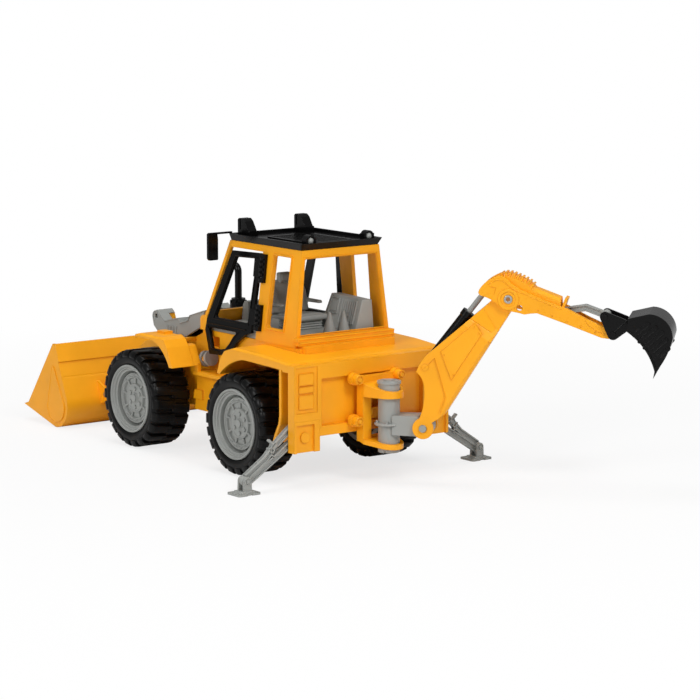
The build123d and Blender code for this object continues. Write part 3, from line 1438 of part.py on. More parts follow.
# ---------------------------------------------------------------- stabilisers
def make_leg():
    """Left stabiliser leg: one moulding of a lower beam and a cranked upper link."""
    root = (leg_root_y, leg_root_z)
    foot = (pad_y, pad_pin_z)
    crank = (106.4, 27)
    hook = (97, 37.5)
    head = (80, 50.4)
    with BuildPart() as leg:
        with BuildSketch(Plane.YZ.offset(leg_x - leg_half)):
            hull((root, 4.6), (foot, 4.0))
            hull((crank, 3.4), (hook, 3.2))
            hull((hook, 3.6), (head, 3.6))
            hull((head, 3.6), ((71.5, 55.2), 3.4))
            hull(((71.5, 55.2), 3.4), (root, 4.0))
            hull((crank, 3.6), (foot, 4.4))
            hull((hook, 1.4), ((102.4, 43.4), 1.2))
        extrude(amount=2 * leg_half)
        for face, depth in ((leg_x - leg_half, 1.0), (leg_x + leg_half, -1.0)):
            with BuildSketch(Plane.YZ.offset(face)):
                hull(((69, 47.6), 2.2), ((99, 28.9), 2.2))
                hull(((84, 46.8), 1.7), ((93, 40.2), 1.7))
                hull(((107, 26.2), 1.9), ((119.4, 18.0), 1.9))
            extrude(amount=depth, mode=Mode.SUBTRACT)
        for y, z, radius in ((pad_y, pad_pin_z, 1.8), (leg_root_y, leg_root_z, 1.8)):
            with BuildSketch(Plane.YZ.offset(leg_x - leg_half - 1)):
                with Locations((y, z)):
                    Circle(radius + running_gap)
            extrude(amount=2 * leg_half + 2, mode=Mode.SUBTRACT)
        with BuildSketch(Plane.YZ.offset(leg_x - leg_half)):
            with Locations(hook):
                Circle(2.6)
        extrude(amount=-0.5)
    return leg.part


def make_pad():
    """Left stabiliser pad: a stepped, cleated foot with two ears and its pin."""
    with BuildPart() as pad:
        with BuildSketch(Plane.XY):
            with Locations((leg_x + 1, pad_y)):
                RectangleRounded(18.5, 22.6, 2)
            with Locations((leg_x - 8.2, pad_y), (leg_x + 10.2, pad_y)):
                Rectangle(3, 5, mode=Mode.SUBTRACT)
        extrude(amount=1.8)
        with BuildSketch(Plane.XY.offset(1.8)):
            with Locations((leg_x + 0.5, pad_y)):
                RectangleRounded(13, 15, 1.5)
        extrude(amount=1.6, taper=25)
        for sign in (1, -1):
            with BuildSketch(Plane.YZ.offset(leg_x + sign * (leg_half + 0.3))):
                hull(((pad_y, pad_pin_z), 3.9), ((pad_y - 3, 3), 1.2), ((pad_y + 3, 3), 1.2))
            extrude(amount=sign * 2.0)
        with Locations(Location((leg_x, pad_y, pad_pin_z), (0, 90, 0))):
            Cylinder(1.8, 2 * leg_half + 4.6)
    return pad.part


leg = make_leg()
save(leg, "stabiliser_leg_left")
save(mirrored(leg), "stabiliser_leg_right")
pad = make_pad()
save(pad, "stabiliser_pad_left")
save(mirrored(pad), "stabiliser_pad_right")
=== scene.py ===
"""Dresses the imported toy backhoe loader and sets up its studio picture.

The classes that model pieces hold their sizes and places in millimetres, and the bench that
builds them works in metres.
"""

import json
import logging
import math
from collections.abc import Sequence
from dataclasses import dataclass, field
from enum import Enum
from functools import cached_property
from typing import ClassVar

import bmesh
import bpy
from mathutils import Matrix, Vector


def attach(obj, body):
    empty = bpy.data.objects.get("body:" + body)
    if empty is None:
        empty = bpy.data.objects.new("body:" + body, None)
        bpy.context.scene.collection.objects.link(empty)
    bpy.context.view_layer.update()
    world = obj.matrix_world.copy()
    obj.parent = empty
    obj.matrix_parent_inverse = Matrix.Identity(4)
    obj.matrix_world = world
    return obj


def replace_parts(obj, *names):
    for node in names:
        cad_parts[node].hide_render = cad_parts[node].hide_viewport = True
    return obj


logging.basicConfig(level=logging.INFO, format="%(name)s: %(message)s")
LOG = logging.getLogger("backhoe")

MM = 0.001
WELD = 0.00002
SIDES = {"left": 1, "right": -1}
UP = Vector((0, 0, 1))
BACK = Vector((-1, 0, 0))
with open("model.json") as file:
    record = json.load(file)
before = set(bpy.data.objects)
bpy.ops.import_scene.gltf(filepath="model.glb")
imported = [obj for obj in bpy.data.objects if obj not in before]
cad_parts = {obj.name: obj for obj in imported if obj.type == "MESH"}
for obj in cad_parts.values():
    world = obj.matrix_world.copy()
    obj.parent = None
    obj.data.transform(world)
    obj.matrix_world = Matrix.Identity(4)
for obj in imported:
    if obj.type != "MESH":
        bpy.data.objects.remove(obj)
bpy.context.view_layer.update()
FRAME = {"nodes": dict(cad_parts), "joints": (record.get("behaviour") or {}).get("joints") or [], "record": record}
BODIES = FRAME["record"]["behaviour"]["bodies"]

# Places in one plane, in millimetres.
Outline = Sequence[tuple[float, float]]


# ---------------------------------------------------------------- finishes
@dataclass(frozen=True)
class Finish:
    """One moulded, rubber or metal finish of the toy.

    Args:
        slot: material slot of the part that the finish belongs to.
        colour: linear base colour.
        roughness: middle roughness of the surface.
        spread: how far the roughness wanders below and above its middle.
        cloud_scale: how many slow patches of tone and gloss lie along a metre.
        grain_scale: how many grains of the fine texture lie along a metre.
        grain_depth: height of the fine texture in metres.
        grain_strength: share of that height that shows.
        edge: radius of the soft moulded edge in metres.
        tint: how far the colour wanders over the piece, from 0 to 1.
        metallic: 1 for bare metal, 0 for plastic and rubber.
        shine: strength of the mirror-like share, 0.5 for common plastic.
    """

    slot: str
    colour: tuple[float, float, float]
    roughness: float
    spread: tuple[float, float] = (0.05, 0.07)
    cloud_scale: float = 28.0
    grain_scale: float = 900.0
    grain_depth: float = 0.00003
    grain_strength: float = 0.25
    edge: float = 0.0005
    tint: float = 0.05
    metallic: float = 0.0
    shine: float = 0.5

    def build(self, name: str) -> bpy.types.Material:
        """Makes the finish's node material.

        Args:
            name: name of the new material.

        Returns:
            The material, reading Object coordinates only.
        """
        material = bpy.data.materials.new(name)
        material.use_nodes = True
        shader = material.node_tree.nodes["Principled BSDF"]
        shader.inputs["Metallic"].default_value = self.metallic
        shader.inputs["Specular IOR Level"].default_value = self.shine
        clouds = self._noise(material, self.cloud_scale, 3.0)
        self._tint(material, shader, clouds)
        self._polish(material, shader, clouds)
        self._relief(material, shader)
        return material

    @staticmethod
    def _noise(material: bpy.types.Material, scale: float, detail: float) -> bpy.types.ShaderNode:
        """Adds a noise texture that is fixed to the piece.

        Args:
            material: material being built.
            scale: number of patches along a metre.
            detail: number of finer layers in the noise.

        Returns:
            The noise node.
        """
        nodes, links = material.node_tree.nodes, material.node_tree.links
        place = nodes.new("ShaderNodeTexCoord")
        noise = nodes.new("ShaderNodeTexNoise")
        noise.inputs["Scale"].default_value = scale
        noise.inputs["Detail"].default_value = detail
        links.new(place.outputs["Object"], noise.inputs["Vector"])
        return noise

    def _tint(
        self,
        material: bpy.types.Material,
        shader: bpy.types.ShaderNode,
        clouds: bpy.types.ShaderNode,
    ) -> None:
        """Lets the colour wander a little between a darker and a lighter tone.

        Args:
            material: material being built.
            shader: its surface shader.
            clouds: the slow noise that mixes the tones.
        """
        nodes, links = material.node_tree.nodes, material.node_tree.links
        tones = nodes.new("ShaderNodeValToRGB")
        low, high = tones.color_ramp.elements
        low.position, high.position = 0.3, 0.7
        low.color = (*[c * (1 - self.tint) for c in self.colour], 1)
        high.color = (*[min(1.0, c * (1 + self.tint)) for c in self.colour], 1)
        links.new(clouds.outputs["Fac"], tones.inputs["Fac"])
        links.new(tones.outputs["Color"], shader.inputs["Base Color"])

    def _polish(
        self,
        material: bpy.types.Material,
        shader: bpy.types.ShaderNode,
        clouds: bpy.types.ShaderNode,
    ) -> None:
        """Lets the roughness wander a little round its middle.

        Args:
            material: material being built.
            shader: its surface shader.
            clouds: the slow noise that sets the roughness.
        """
        nodes, links = material.node_tree.nodes, material.node_tree.links
        polish = nodes.new("ShaderNodeMapRange")
        polish.inputs["To Min"].default_value = self.roughness - self.spread[0]
        polish.inputs["To Max"].default_value = self.roughness + self.spread[1]
        links.new(clouds.outputs["Fac"], polish.inputs["Value"])
        links.new(polish.outputs["Result"], shader.inputs["Roughness"])

    def _relief(self, material: bpy.types.Material, shader: bpy.types.ShaderNode) -> None:
        """Gives the surface its soft edges and fine grain.

        Args:
            material: material being built.
            shader: its surface shader.
        """
        nodes, links = material.node_tree.nodes, material.node_tree.links
        grain = self._noise(material, self.grain_scale, 2.0)
        soft = nodes.new("ShaderNodeBevel")
        soft.samples = 4
        soft.inputs["Radius"].default_value = self.edge
        relief = nodes.new("ShaderNodeBump")
        relief.inputs["Strength"].default_value = self.grain_strength
        relief.inputs["Distance"].default_value = self.grain_depth
        links.new(grain.outputs["Fac"], relief.inputs["Height"])
        links.new(soft.outputs["Normal"], relief.inputs["Normal"])
        links.new(relief.outputs["Normal"], shader.inputs["Normal"])


class Paint(Enum):
    """The finishes found on the toy."""

    YELLOW = Finish("yellow_plastic", (0.95, 0.395, 0.006), 0.38, shine=0.34, edge=0.0009)
    GREY = Finish("grey_plastic", (0.325, 0.335, 0.318), 0.40, tint=0.06, shine=0.4, edge=0.0007)
    BLACK = Finish("black_plastic", (0.003, 0.003, 0.003), 0.22, shine=0.16)
    RUBBER = Finish(
        "tyre_rubber", (0.003, 0.003, 0.003), 0.32, grain_scale=700.0, grain_depth=0.00006, shine=0.16
    )
    STEEL = Finish("pin_steel", (0.50, 0.49, 0.46), 0.34, metallic=1.0, tint=0.1)
    BRASS = Finish("pin_steel", (0.42, 0.20, 0.08), 0.40, metallic=1.0, tint=0.15)

    @cached_property
    def material(self) -> bpy.types.Material:
        """The finish's material, made once."""
        return self.value.build(f"{self.name.lower()}_finish")


CAST_PAINTS = (Paint.YELLOW, Paint.GREY, Paint.BLACK, Paint.RUBBER, Paint.STEEL)
SLOT_PAINT = {finish.value.slot: finish for finish in CAST_PAINTS}


def paint(piece: bpy.types.Object, finish: Paint) -> None:
    """Gives a piece one finish all over."""
    piece.data.materials.clear()
    piece.data.materials.append(finish.material)


# ---------------------------------------------------------------- studio
@dataclass(frozen=True)
class Lamp:
    """One square soft lamp.

    Args:
        name: name of the lamp.
        place: where it hangs, in metres.
        size: side of its square face in metres.
        power: its light in watts.
    """

    name: str
    place: tuple[float, float, float]
    size: float
    power: float

    def build(self, aim: Vector) -> None:
        """Hangs the lamp.

        Args:
            aim: the place that it faces.
        """
        bpy.ops.object.light_add(type="AREA", location=self.place)
        lamp = bpy.context.object
        lamp.name = self.name
        lamp.data.size = self.size
        lamp.data.energy = self.power
        lamp.rotation_euler = (aim - Vector(self.place)).to_track_quat("-Z", "Y").to_euler()


@dataclass
class Studio:
    """Pale floor, even surround, soft lamps and the camera, all in metres.

    Args:
        floor_size: side of the floor.
        floor_drop: how far the floor lies under the wheels.
        floor_tone: grey level of the floor.
        floor_roughness: roughness of the floor.
        floor_white: share of pure white that the camera sees in the floor under the toy.
        shade_reach: how far from the toy's middle the floor is pure white.
        surround: strength of the light that comes from all round.
        camera_place: where the camera stands.
        camera_turn: how it is turned, in degrees.
        lens: its focal length in millimetres.
        sensor: width of its sensor in millimetres.
        clip: nearest and farthest distance that it sees.
        lamps: the lamps.
        aim: the place that the lamps face.
    """

    floor_size: float = 90.0
    floor_drop: float = 0.0002
    floor_tone: float = 0.86
    floor_roughness: float = 0.9
    floor_white: float = 0.72
    shade_reach: float = 0.9
    surround: float = 0.30
    camera_place: tuple[float, float, float] = (-1.9133, 1.4308, 0.4713)
    camera_turn: tuple[float, float, float] = (81.207, 0.0, -127.527)
    lens: float = 141.2
    sensor: float = 36.0
    clip: tuple[float, float] = (0.05, 120.0)
    lamps: tuple[Lamp, ...] = (
        Lamp("key_lamp", (-1.9, 0.1, 1.7), 0.8, 27.0),
        Lamp("side_lamp", (-0.2, 2.3, 1.3), 0.7, 19.0),
        Lamp("top_lamp", (0.2, 0.2, 2.2), 1.1, 17.0),
    )
    aim: tuple[float, float, float] = (0.0, 0.0, 0.08)

    def build(self) -> None:
        """Sets up floor, world, lamps, camera and the view transform."""
        self._floor()
        self._world()
        for lamp in self.lamps:
            lamp.build(Vector(self.aim))
        self._camera()
        bpy.context.scene.view_settings.view_transform = "Standard"
        LOG.info("studio is set")

    def _floor(self) -> None:
        """Adds the floor, white to the camera but still shaded by the toy."""
        bpy.ops.object.select_all(action="DESELECT")
        bpy.ops.mesh.primitive_plane_add(size=self.floor_size, location=(0, 0, -self.floor_drop))
        floor = bpy.context.object
        floor.name = "studio_floor"
        material = bpy.data.materials.new("floor_finish")
        material.use_nodes = True
        nodes, links = material.node_tree.nodes, material.node_tree.links
        matt = nodes["Principled BSDF"]
        matt.inputs["Base Color"].default_value = (*[self.floor_tone] * 3, 1)
        matt.inputs["Roughness"].default_value = self.floor_roughness
        glow = nodes.new("ShaderNodeEmission")
        glow.inputs["Strength"].default_value = 1.0
        blend = nodes.new("ShaderNodeMixShader")
        links.new(self._white_share(material), blend.inputs["Fac"])
        links.new(matt.outputs["BSDF"], blend.inputs[1])
        links.new(glow.outputs["Emission"], blend.inputs[2])
        links.new(blend.outputs["Shader"], nodes["Material Output"].inputs["Surface"])
        floor.data.materials.append(material)

    def _white_share(self, material: bpy.types.Material) -> bpy.types.NodeSocket:
        """Adds the nodes that say how white the camera sees the floor at each place.

        Args:
            material: the floor's material.

        Returns:
            The socket that holds the share, which is 0 for all other rays.
        """
        nodes, links = material.node_tree.nodes, material.node_tree.links
        rays = nodes.new("ShaderNodeLightPath")
        place = nodes.new("ShaderNodeTexCoord")
        away = nodes.new("ShaderNodeVectorMath")
        away.operation = "LENGTH"
        fade = nodes.new("ShaderNodeMapRange")
        fade.inputs["From Max"].default_value = self.shade_reach
        fade.inputs["To Min"].default_value = self.floor_white
        fade.inputs["To Max"].default_value = 1.0
        share = nodes.new("ShaderNodeMath")
        share.operation = "MULTIPLY"
        links.new(place.outputs["Object"], away.inputs[0])
        links.new(away.outputs["Value"], fade.inputs["Value"])
        links.new(rays.outputs["Is Camera Ray"], share.inputs[0])
        links.new(fade.outputs["Result"], share.inputs[1])
        return share.outputs["Value"]

    def _world(self) -> None:
        """Gives the toy an even pale surround, pure white to the camera."""
        world = bpy.data.worlds.new("studio_world")
        bpy.context.scene.world = world
        world.use_nodes = True
        nodes, links = world.node_tree.nodes, world.node_tree.links
        rays = nodes.new("ShaderNodeLightPath")
        level = nodes.new("ShaderNodeMapRange")
        level.inputs["To Min"].default_value = self.surround
        level.inputs["To Max"].default_value = 1.0
        links.new(rays.outputs["Is Camera Ray"], level.inputs["Value"])
        links.new(level.outputs["Result"], nodes["Background"].inputs["Strength"])
        nodes["Background"].inputs["Color"].default_value = (1, 1, 1, 1)

    def _camera(self) -> None:
        """Adds the camera and makes it the scene's own."""
        turn = [math.radians(angle) for angle in self.camera_turn]
        bpy.ops.object.camera_add(location=self.camera_place, rotation=turn)
        camera = bpy.context.object
        camera.name = "studio_camera"
        camera.data.lens = self.lens
        camera.data.sensor_width = self.sensor
        camera.data.clip_start, camera.data.clip_end = self.clip
        bpy.context.scene.camera = camera


# ---------------------------------------------------------------- modelling bench
def mm(x: float, y: float, z: float) -> Vector:
    """A place given in millimetres, returned in metres."""
    return Vector((x, y, z)) * MM


def arc(centre: tuple[float, float], radii: tuple[float, float], degrees: range) -> Outline:
    """Places along an arc of a circle or an ellipse.

    Args:
        centre: its middle.
        radii: its half-widths across and up.
        degrees: angle of each place.

    Returns:
        The places, in the unit of the centre.
    """
    angles = [math.radians(degree) for degree in degrees]
    return [(centre[0] + radii[0] * math.cos(t), centre[1] + radii[1] * math.sin(t)) for t in angles]


def pick(piece: bpy.types.Object) -> None:
    """Selects one object alone and makes it the active one."""
    bpy.ops.object.select_all(action="DESELECT")
    piece.select_set(True)
    bpy.context.view_layer.objects.active = piece


def apply_place() -> None:
    """Moves place, turn and scale of what is selected into its mesh."""
    bpy.ops.object.transform_apply(location=True, rotation=True, scale=True)


def soften(piece: bpy.types.Object, radius: float, segments: int = 3) -> None:
    """Rounds a piece's sharp edges, those that turn by more than 30 degrees.

    Args:
        piece: the piece, in object mode.
        radius: width of the rounding in metres.
        segments: number of facets across it.
    """
    bpy.context.view_layer.objects.active = piece
    bevel = piece.modifiers.new("soft_edges", "BEVEL")
    bevel.width = radius
    bevel.segments = segments
    bevel.limit_method = "ANGLE"
    bevel.angle_limit = math.radians(30)
    bpy.ops.object.modifier_apply(modifier=bevel.name)


@dataclass(frozen=True)
class Bench:
    """Modelling moves for the pieces that ride on one body in one finish.

    Args:
        body: body of the frame that the pieces ride on.
        finish: finish that they get.
    """

    body: str
    finish: Paint
    head_inset: ClassVar[float] = 0.16
    head_rise: ClassVar[float] = 0.12
    socket_inset: ClassVar[float] = 0.28

    def assemble(
        self, name: str, parts: Sequence[bpy.types.Object], angle: float = 35.0
    ) -> bpy.types.Object:
        """Joins parts into one piece and closes it off.

        Args:
            name: name of the piece.
            parts: its parts, of which the first takes in the others.
            angle: sharpest angle in degrees that is still shaded smooth.

        Returns:
            The finished piece.
        """
        return self.done(self.join(name, parts), angle)

    def done(self, piece: bpy.types.Object, angle: float) -> bpy.types.Object:
        """Closes a piece off: outward faces, smooth shading, finish and body.

        Args:
            piece: the modelled piece, its place in its mesh.
            angle: sharpest angle in degrees that is still shaded smooth.

        Returns:
            The same piece.
        """
        pick(piece)
        bpy.ops.object.mode_set(mode="EDIT")
        bpy.ops.mesh.select_all(action="SELECT")
        bpy.ops.mesh.normals_make_consistent(inside=False)
        bpy.ops.object.mode_set(mode="OBJECT")
        bpy.ops.object.shade_smooth_by_angle(angle=math.radians(angle))
        paint(piece, self.finish)
        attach(piece, self.body)
        LOG.info("%s rides on %s", piece.name, self.body)
        return piece

    @staticmethod
    def join(name: str, parts: Sequence[bpy.types.Object]) -> bpy.types.Object:
        """Joins loose parts into one object, with its place in its mesh.

        Args:
            name: name of the joined object.
            parts: the parts, of which the first takes in the others.

        Returns:
            The joined object.
        """
        pick(parts[0])
        for part in parts:
            part.select_set(True)
        if len(parts) > 1:
            bpy.ops.object.join()
        piece = bpy.context.object
        piece.name = name
        piece.data.name = name
        apply_place()
        return piece

    @staticmethod
    def copied(pattern: bpy.types.Object, name: str) -> bpy.types.Object:
        """Copies a pattern.

        Args:
            pattern: the object to copy.
            name: name of the copy.

        Returns:
            The copy, with its own mesh.
        """
        piece = pattern.copy()
        piece.data = pattern.data.copy()
        piece.name = name
        piece.data.name = name
        bpy.context.collection.objects.link(piece)
        return piece

    @staticmethod
    def trace(points: Sequence[Vector], closed: bool) -> None:
        """Leaves an edge path through the points in edit mode, all of it selected.

        Args:
            points: corners of the path.
            closed: whether the path runs back to its start.
        """
        bpy.ops.object.select_all(action="DESELECT")
        bpy.ops.mesh.primitive_plane_add(size=MM, location=points[0])
        apply_place()
        bpy.ops.object.mode_set(mode="EDIT")
        bpy.ops.mesh.select_all(action="SELECT")
        bpy.ops.mesh.merge(type="CENTER")
        route = [*points, points[0]] if closed else list(points)
        for before, after in zip(route, route[1:]):
            step = {"value": after - before}
            bpy.ops.mesh.extrude_region_move(TRANSFORM_OT_translate=step)
        bpy.ops.mesh.select_all(action="SELECT")
        bpy.ops.mesh.remove_doubles(threshold=WELD)

    @staticmethod
    def bead(points: Sequence[Vector], radius: float, closed: bool = False) -> bpy.types.Object:
        """A raised round line along a path.

        Args:
            points: corners of the path.
            radius: radius of the line in metres.
            closed: whether the path runs back to its start.

        Returns:
            The line as a mesh.
        """
        Bench.trace(points, closed)
        bpy.ops.object.mode_set(mode="OBJECT")
        bpy.ops.object.convert(target="CURVE")
        line = bpy.context.object.data
        line.bevel_depth = radius
        line.bevel_resolution = 2
        line.use_fill_caps = True
        bpy.ops.object.convert(target="MESH")
        return bpy.context.object

    @staticmethod
    def plate(
        points: Sequence[Vector], rise: Vector, rounding: float = 0.0
    ) -> bpy.types.Object:
        """A flat plate raised from an outline.

        Args:
            points: corners of the outline.
            rise: way and height of the plate.
            rounding: radius of its softened edges in metres.

        Returns:
            The plate.
        """
        Bench.trace(points, True)
        bpy.ops.mesh.edge_face_add()
        bpy.ops.mesh.extrude_region_move(TRANSFORM_OT_translate={"value": rise})
        bpy.ops.object.mode_set(mode="OBJECT")
        piece = bpy.context.object
        if rounding:
            soften(piece, rounding)
        return piece

    @staticmethod
    def stud(
        foot: Vector, rise: Vector, radius: float, sides: int = 24, socket: float = 0.0
    ) -> bpy.types.Object:
        """A round or many-sided head with a chamfered rim and, if asked, a socket.

        Args:
            foot: middle of its foot.
            rise: way and height of the head.
            radius: radius of its foot in metres.
            sides: number of sides.
            socket: share of the height by which the middle is sunk.

        Returns:
            The head.
        """
        bpy.ops.object.select_all(action="DESELECT")
        turn = rise.to_track_quat("Z", "Y").to_euler()
        bpy.ops.mesh.primitive_cylinder_add(
            vertices=sides, radius=radius, depth=rise.length,
            location=foot + rise / 2, rotation=turn,
        )
        apply_place()
        bpy.ops.object.mode_set(mode="EDIT")
        mesh = bmesh.from_edit_mesh(bpy.context.object.data)
        for face in mesh.faces:
            face.select_set(face.normal.dot(rise.normalized()) > 0.99)
        mesh.select_flush_mode()
        bmesh.update_edit_mesh(bpy.context.object.data)
        bpy.ops.mesh.inset(thickness=radius * Bench.head_inset)
        bpy.ops.transform.translate(value=rise * Bench.head_rise)
        if socket:
            bpy.ops.mesh.inset(thickness=radius * Bench.socket_inset)
            bpy.ops.transform.translate(value=-rise * socket)
        bpy.ops.object.mode_set(mode="OBJECT")
        return bpy.context.object

    @staticmethod
    def ring(centre: Vector, axis: Vector, major: float, minor: float) -> bpy.types.Object:
        """A round ring, flattened a little along its axis.

        Args:
            centre: middle of the ring.
            axis: its axis.
            major: radius of its centre line in metres.
            minor: radius of its section in metres.

        Returns:
            The ring.
        """
        bpy.ops.object.select_all(action="DESELECT")
        bpy.ops.mesh.primitive_torus_add(
            major_segments=40, minor_segments=8, major_radius=major, minor_radius=minor,
        )
        bpy.ops.object.mode_set(mode="EDIT")
        bpy.ops.mesh.select_all(action="SELECT")
        bpy.ops.transform.resize(value=(1, 1, 0.8))
        bpy.ops.object.mode_set(mode="OBJECT")
        ring = bpy.context.object
        ring.rotation_euler = axis.to_track_quat("Z", "Y").to_euler()
        ring.location = centre
        apply_place()
        return ring


def joint_place(name: str) -> Vector:
    """Where a joint of the frame sits."""
    return Vector(next(j for j in FRAME["joints"] if j["name"] == name)["pos_m"])


def joint_axis(name: str) -> Vector:
    """The way a joint of the frame turns or slides."""
    return Vector(next(j for j in FRAME["joints"] if j["name"] == name)["axis"])


@dataclass(frozen=True)
class DiggingPlane:
    """The upright plane in which boom, arm and bucket move."""

    @cached_property
    def side(self) -> Vector:
        """Unit vector to the boom's left."""
        return joint_axis("boom_lift").normalized()

    @cached_property
    def out(self) -> Vector:
        """Unit vector out along the boom."""
        return UP.cross(self.side).normalized()

    def at(self, out: float, height: float, side: float = 0.0) -> Vector:
        """A place in the plane.

        Args:
            out: distance from the kingpost's axis in millimetres.
            height: height over the floor in millimetres.
            side: distance to the boom's left in millimetres.

        Returns:
            The place in metres.
        """
        post = joint_place("swing")
        foot = Vector((post.x, post.y, 0))
        return foot + (self.out * out + UP * height + self.side * side) * MM


# ---------------------------------------------------------------- wheels
@dataclass
class Wheels:
    """Lugged tyres and dished rims, modelled once and copied to each of the four places.

    Args:
        names: the wheels' names in the frame.
        middle: how far a wheel's middle lies from the toy's.
        radius: radius over the lugs.
        lip_radius: radius of the rim's lip.
        bore: radius of the hole for the axle.
        lugs: lugs in each of a tyre's two rows.
        bolts: bolts round the cap.
        spokes: ribs in the dish, which has twice as many studs outside them.
        facets: facets of a turned body round the wheel.
    """

    names: tuple[str, ...] = ("front_left", "front_right", "rear_left", "rear_right")
    middle: float = 69.0
    radius: float = 44.6
    lip_radius: float = 31.0
    bore: float = 2.56
    lugs: int = 22
    bolts: int = 6
    spokes: int = 9
    facets: int = 88

    def build(self) -> None:
        """Puts a tyre and a rim on each wheel."""
        tyre, rim = self._tyre(), self._rim()
        for name in self.names:
            self._fit(tyre, "tyre_shell", name, Paint.RUBBER, f"tyre_{name}")
            self._fit(rim, "rim_dish", name, Paint.GREY, f"rim_{name}")
        for pattern in (tyre, rim):
            bpy.data.objects.remove(pattern)

    def _fit(
        self, pattern: bpy.types.Object, kind: str, wheel: str, finish: Paint, solid: str
    ) -> None:
        """Copies a pattern to one wheel, its outer side outwards.

        Args:
            pattern: the pattern, made round the origin with its outer side towards +Y.
            kind: first part of the piece's name.
            wheel: name of the wheel.
            finish: finish of the piece.
            solid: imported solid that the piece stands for.
        """
        spin = joint_place(f"wheel_{wheel}_spin")
        outward = math.copysign(1.0, spin.y)
        piece = Bench.copied(pattern, f"{kind}_{wheel}")
        piece.rotation_euler = (0, 0, 0 if outward > 0 else math.pi)
        piece.location = (spin.x, outward * self.middle * MM, spin.z)
        pick(piece)
        apply_place()
        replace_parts(Bench(f"wheel_{wheel}", finish).done(piece, 32), solid)

    def _turned(self, profile: Outline, closed: bool) -> bpy.types.Object:
        """Spins a section round the wheel's axis.

        Args:
            profile: radius and place along the axis of each corner, in millimetres.
            closed: whether the section runs back to its start.

        Returns:
            The turned body, its axis along Y through the origin.
        """
        Bench.trace([mm(r, y, 0) for r, y in profile], closed)
        bpy.ops.mesh.spin(steps=self.facets, angle=2 * math.pi, center=(0, 0, 0), axis=(0, 1, 0))
        bpy.ops.mesh.select_all(action="SELECT")
        bpy.ops.mesh.remove_doubles(threshold=WELD)
        bpy.ops.mesh.normals_make_consistent(inside=False)
        bpy.ops.object.mode_set(mode="OBJECT")
        return bpy.context.object

    def _tyre(self) -> bpy.types.Object:
        """Models the pattern tyre: turned carcass and two staggered rows of lugs.

        Returns:
            The tyre round the origin.
        """
        wall = self.lip_radius + 0.3
        flank = [
            (self.lip_radius - 2.4, 18.0), (wall, 18.0), (wall + 0.7, 18.5), (33.4, 19.1),
            (35.4, 19.5), (37.4, 19.5), (39.4, 19.0), (40.8, 18.0), (41.6, 16.6), (41.9, 14.0),
        ]
        section = [*flank, *[(r, -y) for r, y in reversed(flank)]]
        parts = [self._turned(section, True)]
        pattern = self._lug()
        for flip, start in ((0.0, 0.0), (math.pi, 0.5)):
            for number in range(self.lugs):
                lug = Bench.copied(pattern, "lug")
                turn = Matrix.Rotation(2 * math.pi * (number + start) / self.lugs, 4, "Y")
                lug.data.transform(turn @ Matrix.Rotation(flip, 4, "X"))
                parts.append(lug)
        bpy.data.objects.remove(pattern)
        return Bench.join("tyre_pattern", parts)

    def _lug(self) -> bpy.types.Object:
        """Models the pattern lug on the +X side of the tyre, running from shoulder to crown.

        Returns:
            The lug, its crown end leaning along the tread and its edges rounded.
        """
        side_view = [
            (self.radius, -2.0), (self.radius, 15.6), (43.9, 17.6), (41.2, 19.6), (38.6, 19.9),
            (37.6, 18.6), (40.4, 15.0), (40.8, -2.0),
        ]
        back_face, width = -4.3, 8.2
        lean, shoulder = 2.4, 16.0
        crown, narrowing = 44.0, 0.08
        Bench.trace([mm(r, y, back_face) for r, y in side_view], True)
        bpy.ops.mesh.edge_face_add()
        bpy.ops.mesh.extrude_region_move(TRANSFORM_OT_translate={"value": mm(0, 0, width)})
        mesh = bmesh.from_edit_mesh(bpy.context.object.data)
        for corner in mesh.verts:
            inner = 1.0 - min(1.0, max(0.0, corner.co.y / (shoulder * MM)))
            corner.co.z += lean * MM * inner
            if corner.co.x > crown * MM:
                corner.co.z *= 1.0 - narrowing
        bmesh.update_edit_mesh(bpy.context.object.data)
        bpy.ops.object.mode_set(mode="OBJECT")
        lug = bpy.context.object
        soften(lug, 0.5 * MM, 2)
        return lug

    def _rim(self) -> bpy.types.Object:
        """Models the pattern rim: turned dish with raised rings, spokes, studs, bolts and cap.

        Returns:
            The rim round the origin.
        """
        section = [
            (0, 13.6), (4.4, 13.6), (5.0, 12.6), (11.6, 12.6), (12.4, 13.3), (13.2, 13.3),
            (13.8, 11.2), (18.2, 11.2), (18.8, 13.3), (19.6, 13.3), (20.2, 12.5), (21.4, 12.5),
            (22.0, 13.4), (22.8, 13.4), (23.4, 9.4), (25.0, 9.4), (25.6, 15.4), (27.0, 15.9),
            (27.6, 17.8), (28.8, 18.2), (29.4, 19.9), (30.4, 19.9), (31.0, 19.2), (31.0, 18.0),
            (28.5, 18.0), (28.5, -18.0), (31.0, -18.0), (31.0, -19.4), (26.5, -19.4), (26.0, 6.6),
            (9.0, 6.6), (9.0, -17.5), (self.bore, -17.5), (self.bore, 6.5), (0, 6.5),
        ]
        parts = [self._turned(section, False)]
        parts.append(Bench.stud(mm(0, 13.4, 0), mm(0, 1.5, 0), 3.5 * MM, 32, 0.4))
        for number in range(self.bolts):
            foot = self._face((number + 0.5) / self.bolts, 8.4, 12.4)
            parts.append(Bench.stud(foot, mm(0, 1.5, 0), 1.9 * MM, 20, 0.5))
        for number in range(self.spokes):
            turn = (number + 0.25) / self.spokes
            ends = [self._face(turn, radius, 12.1) for radius in (13.4, 18.6)]
            parts.append(Bench.bead(ends, 1.1 * MM))
        for number in range(2 * self.spokes):
            foot = self._face((number + 0.25) / (2 * self.spokes), 20.8, 12.3)
            parts.append(Bench.stud(foot, mm(0, 0.7, 0), 0.7 * MM, 10))
        return Bench.join("rim_pattern", parts)

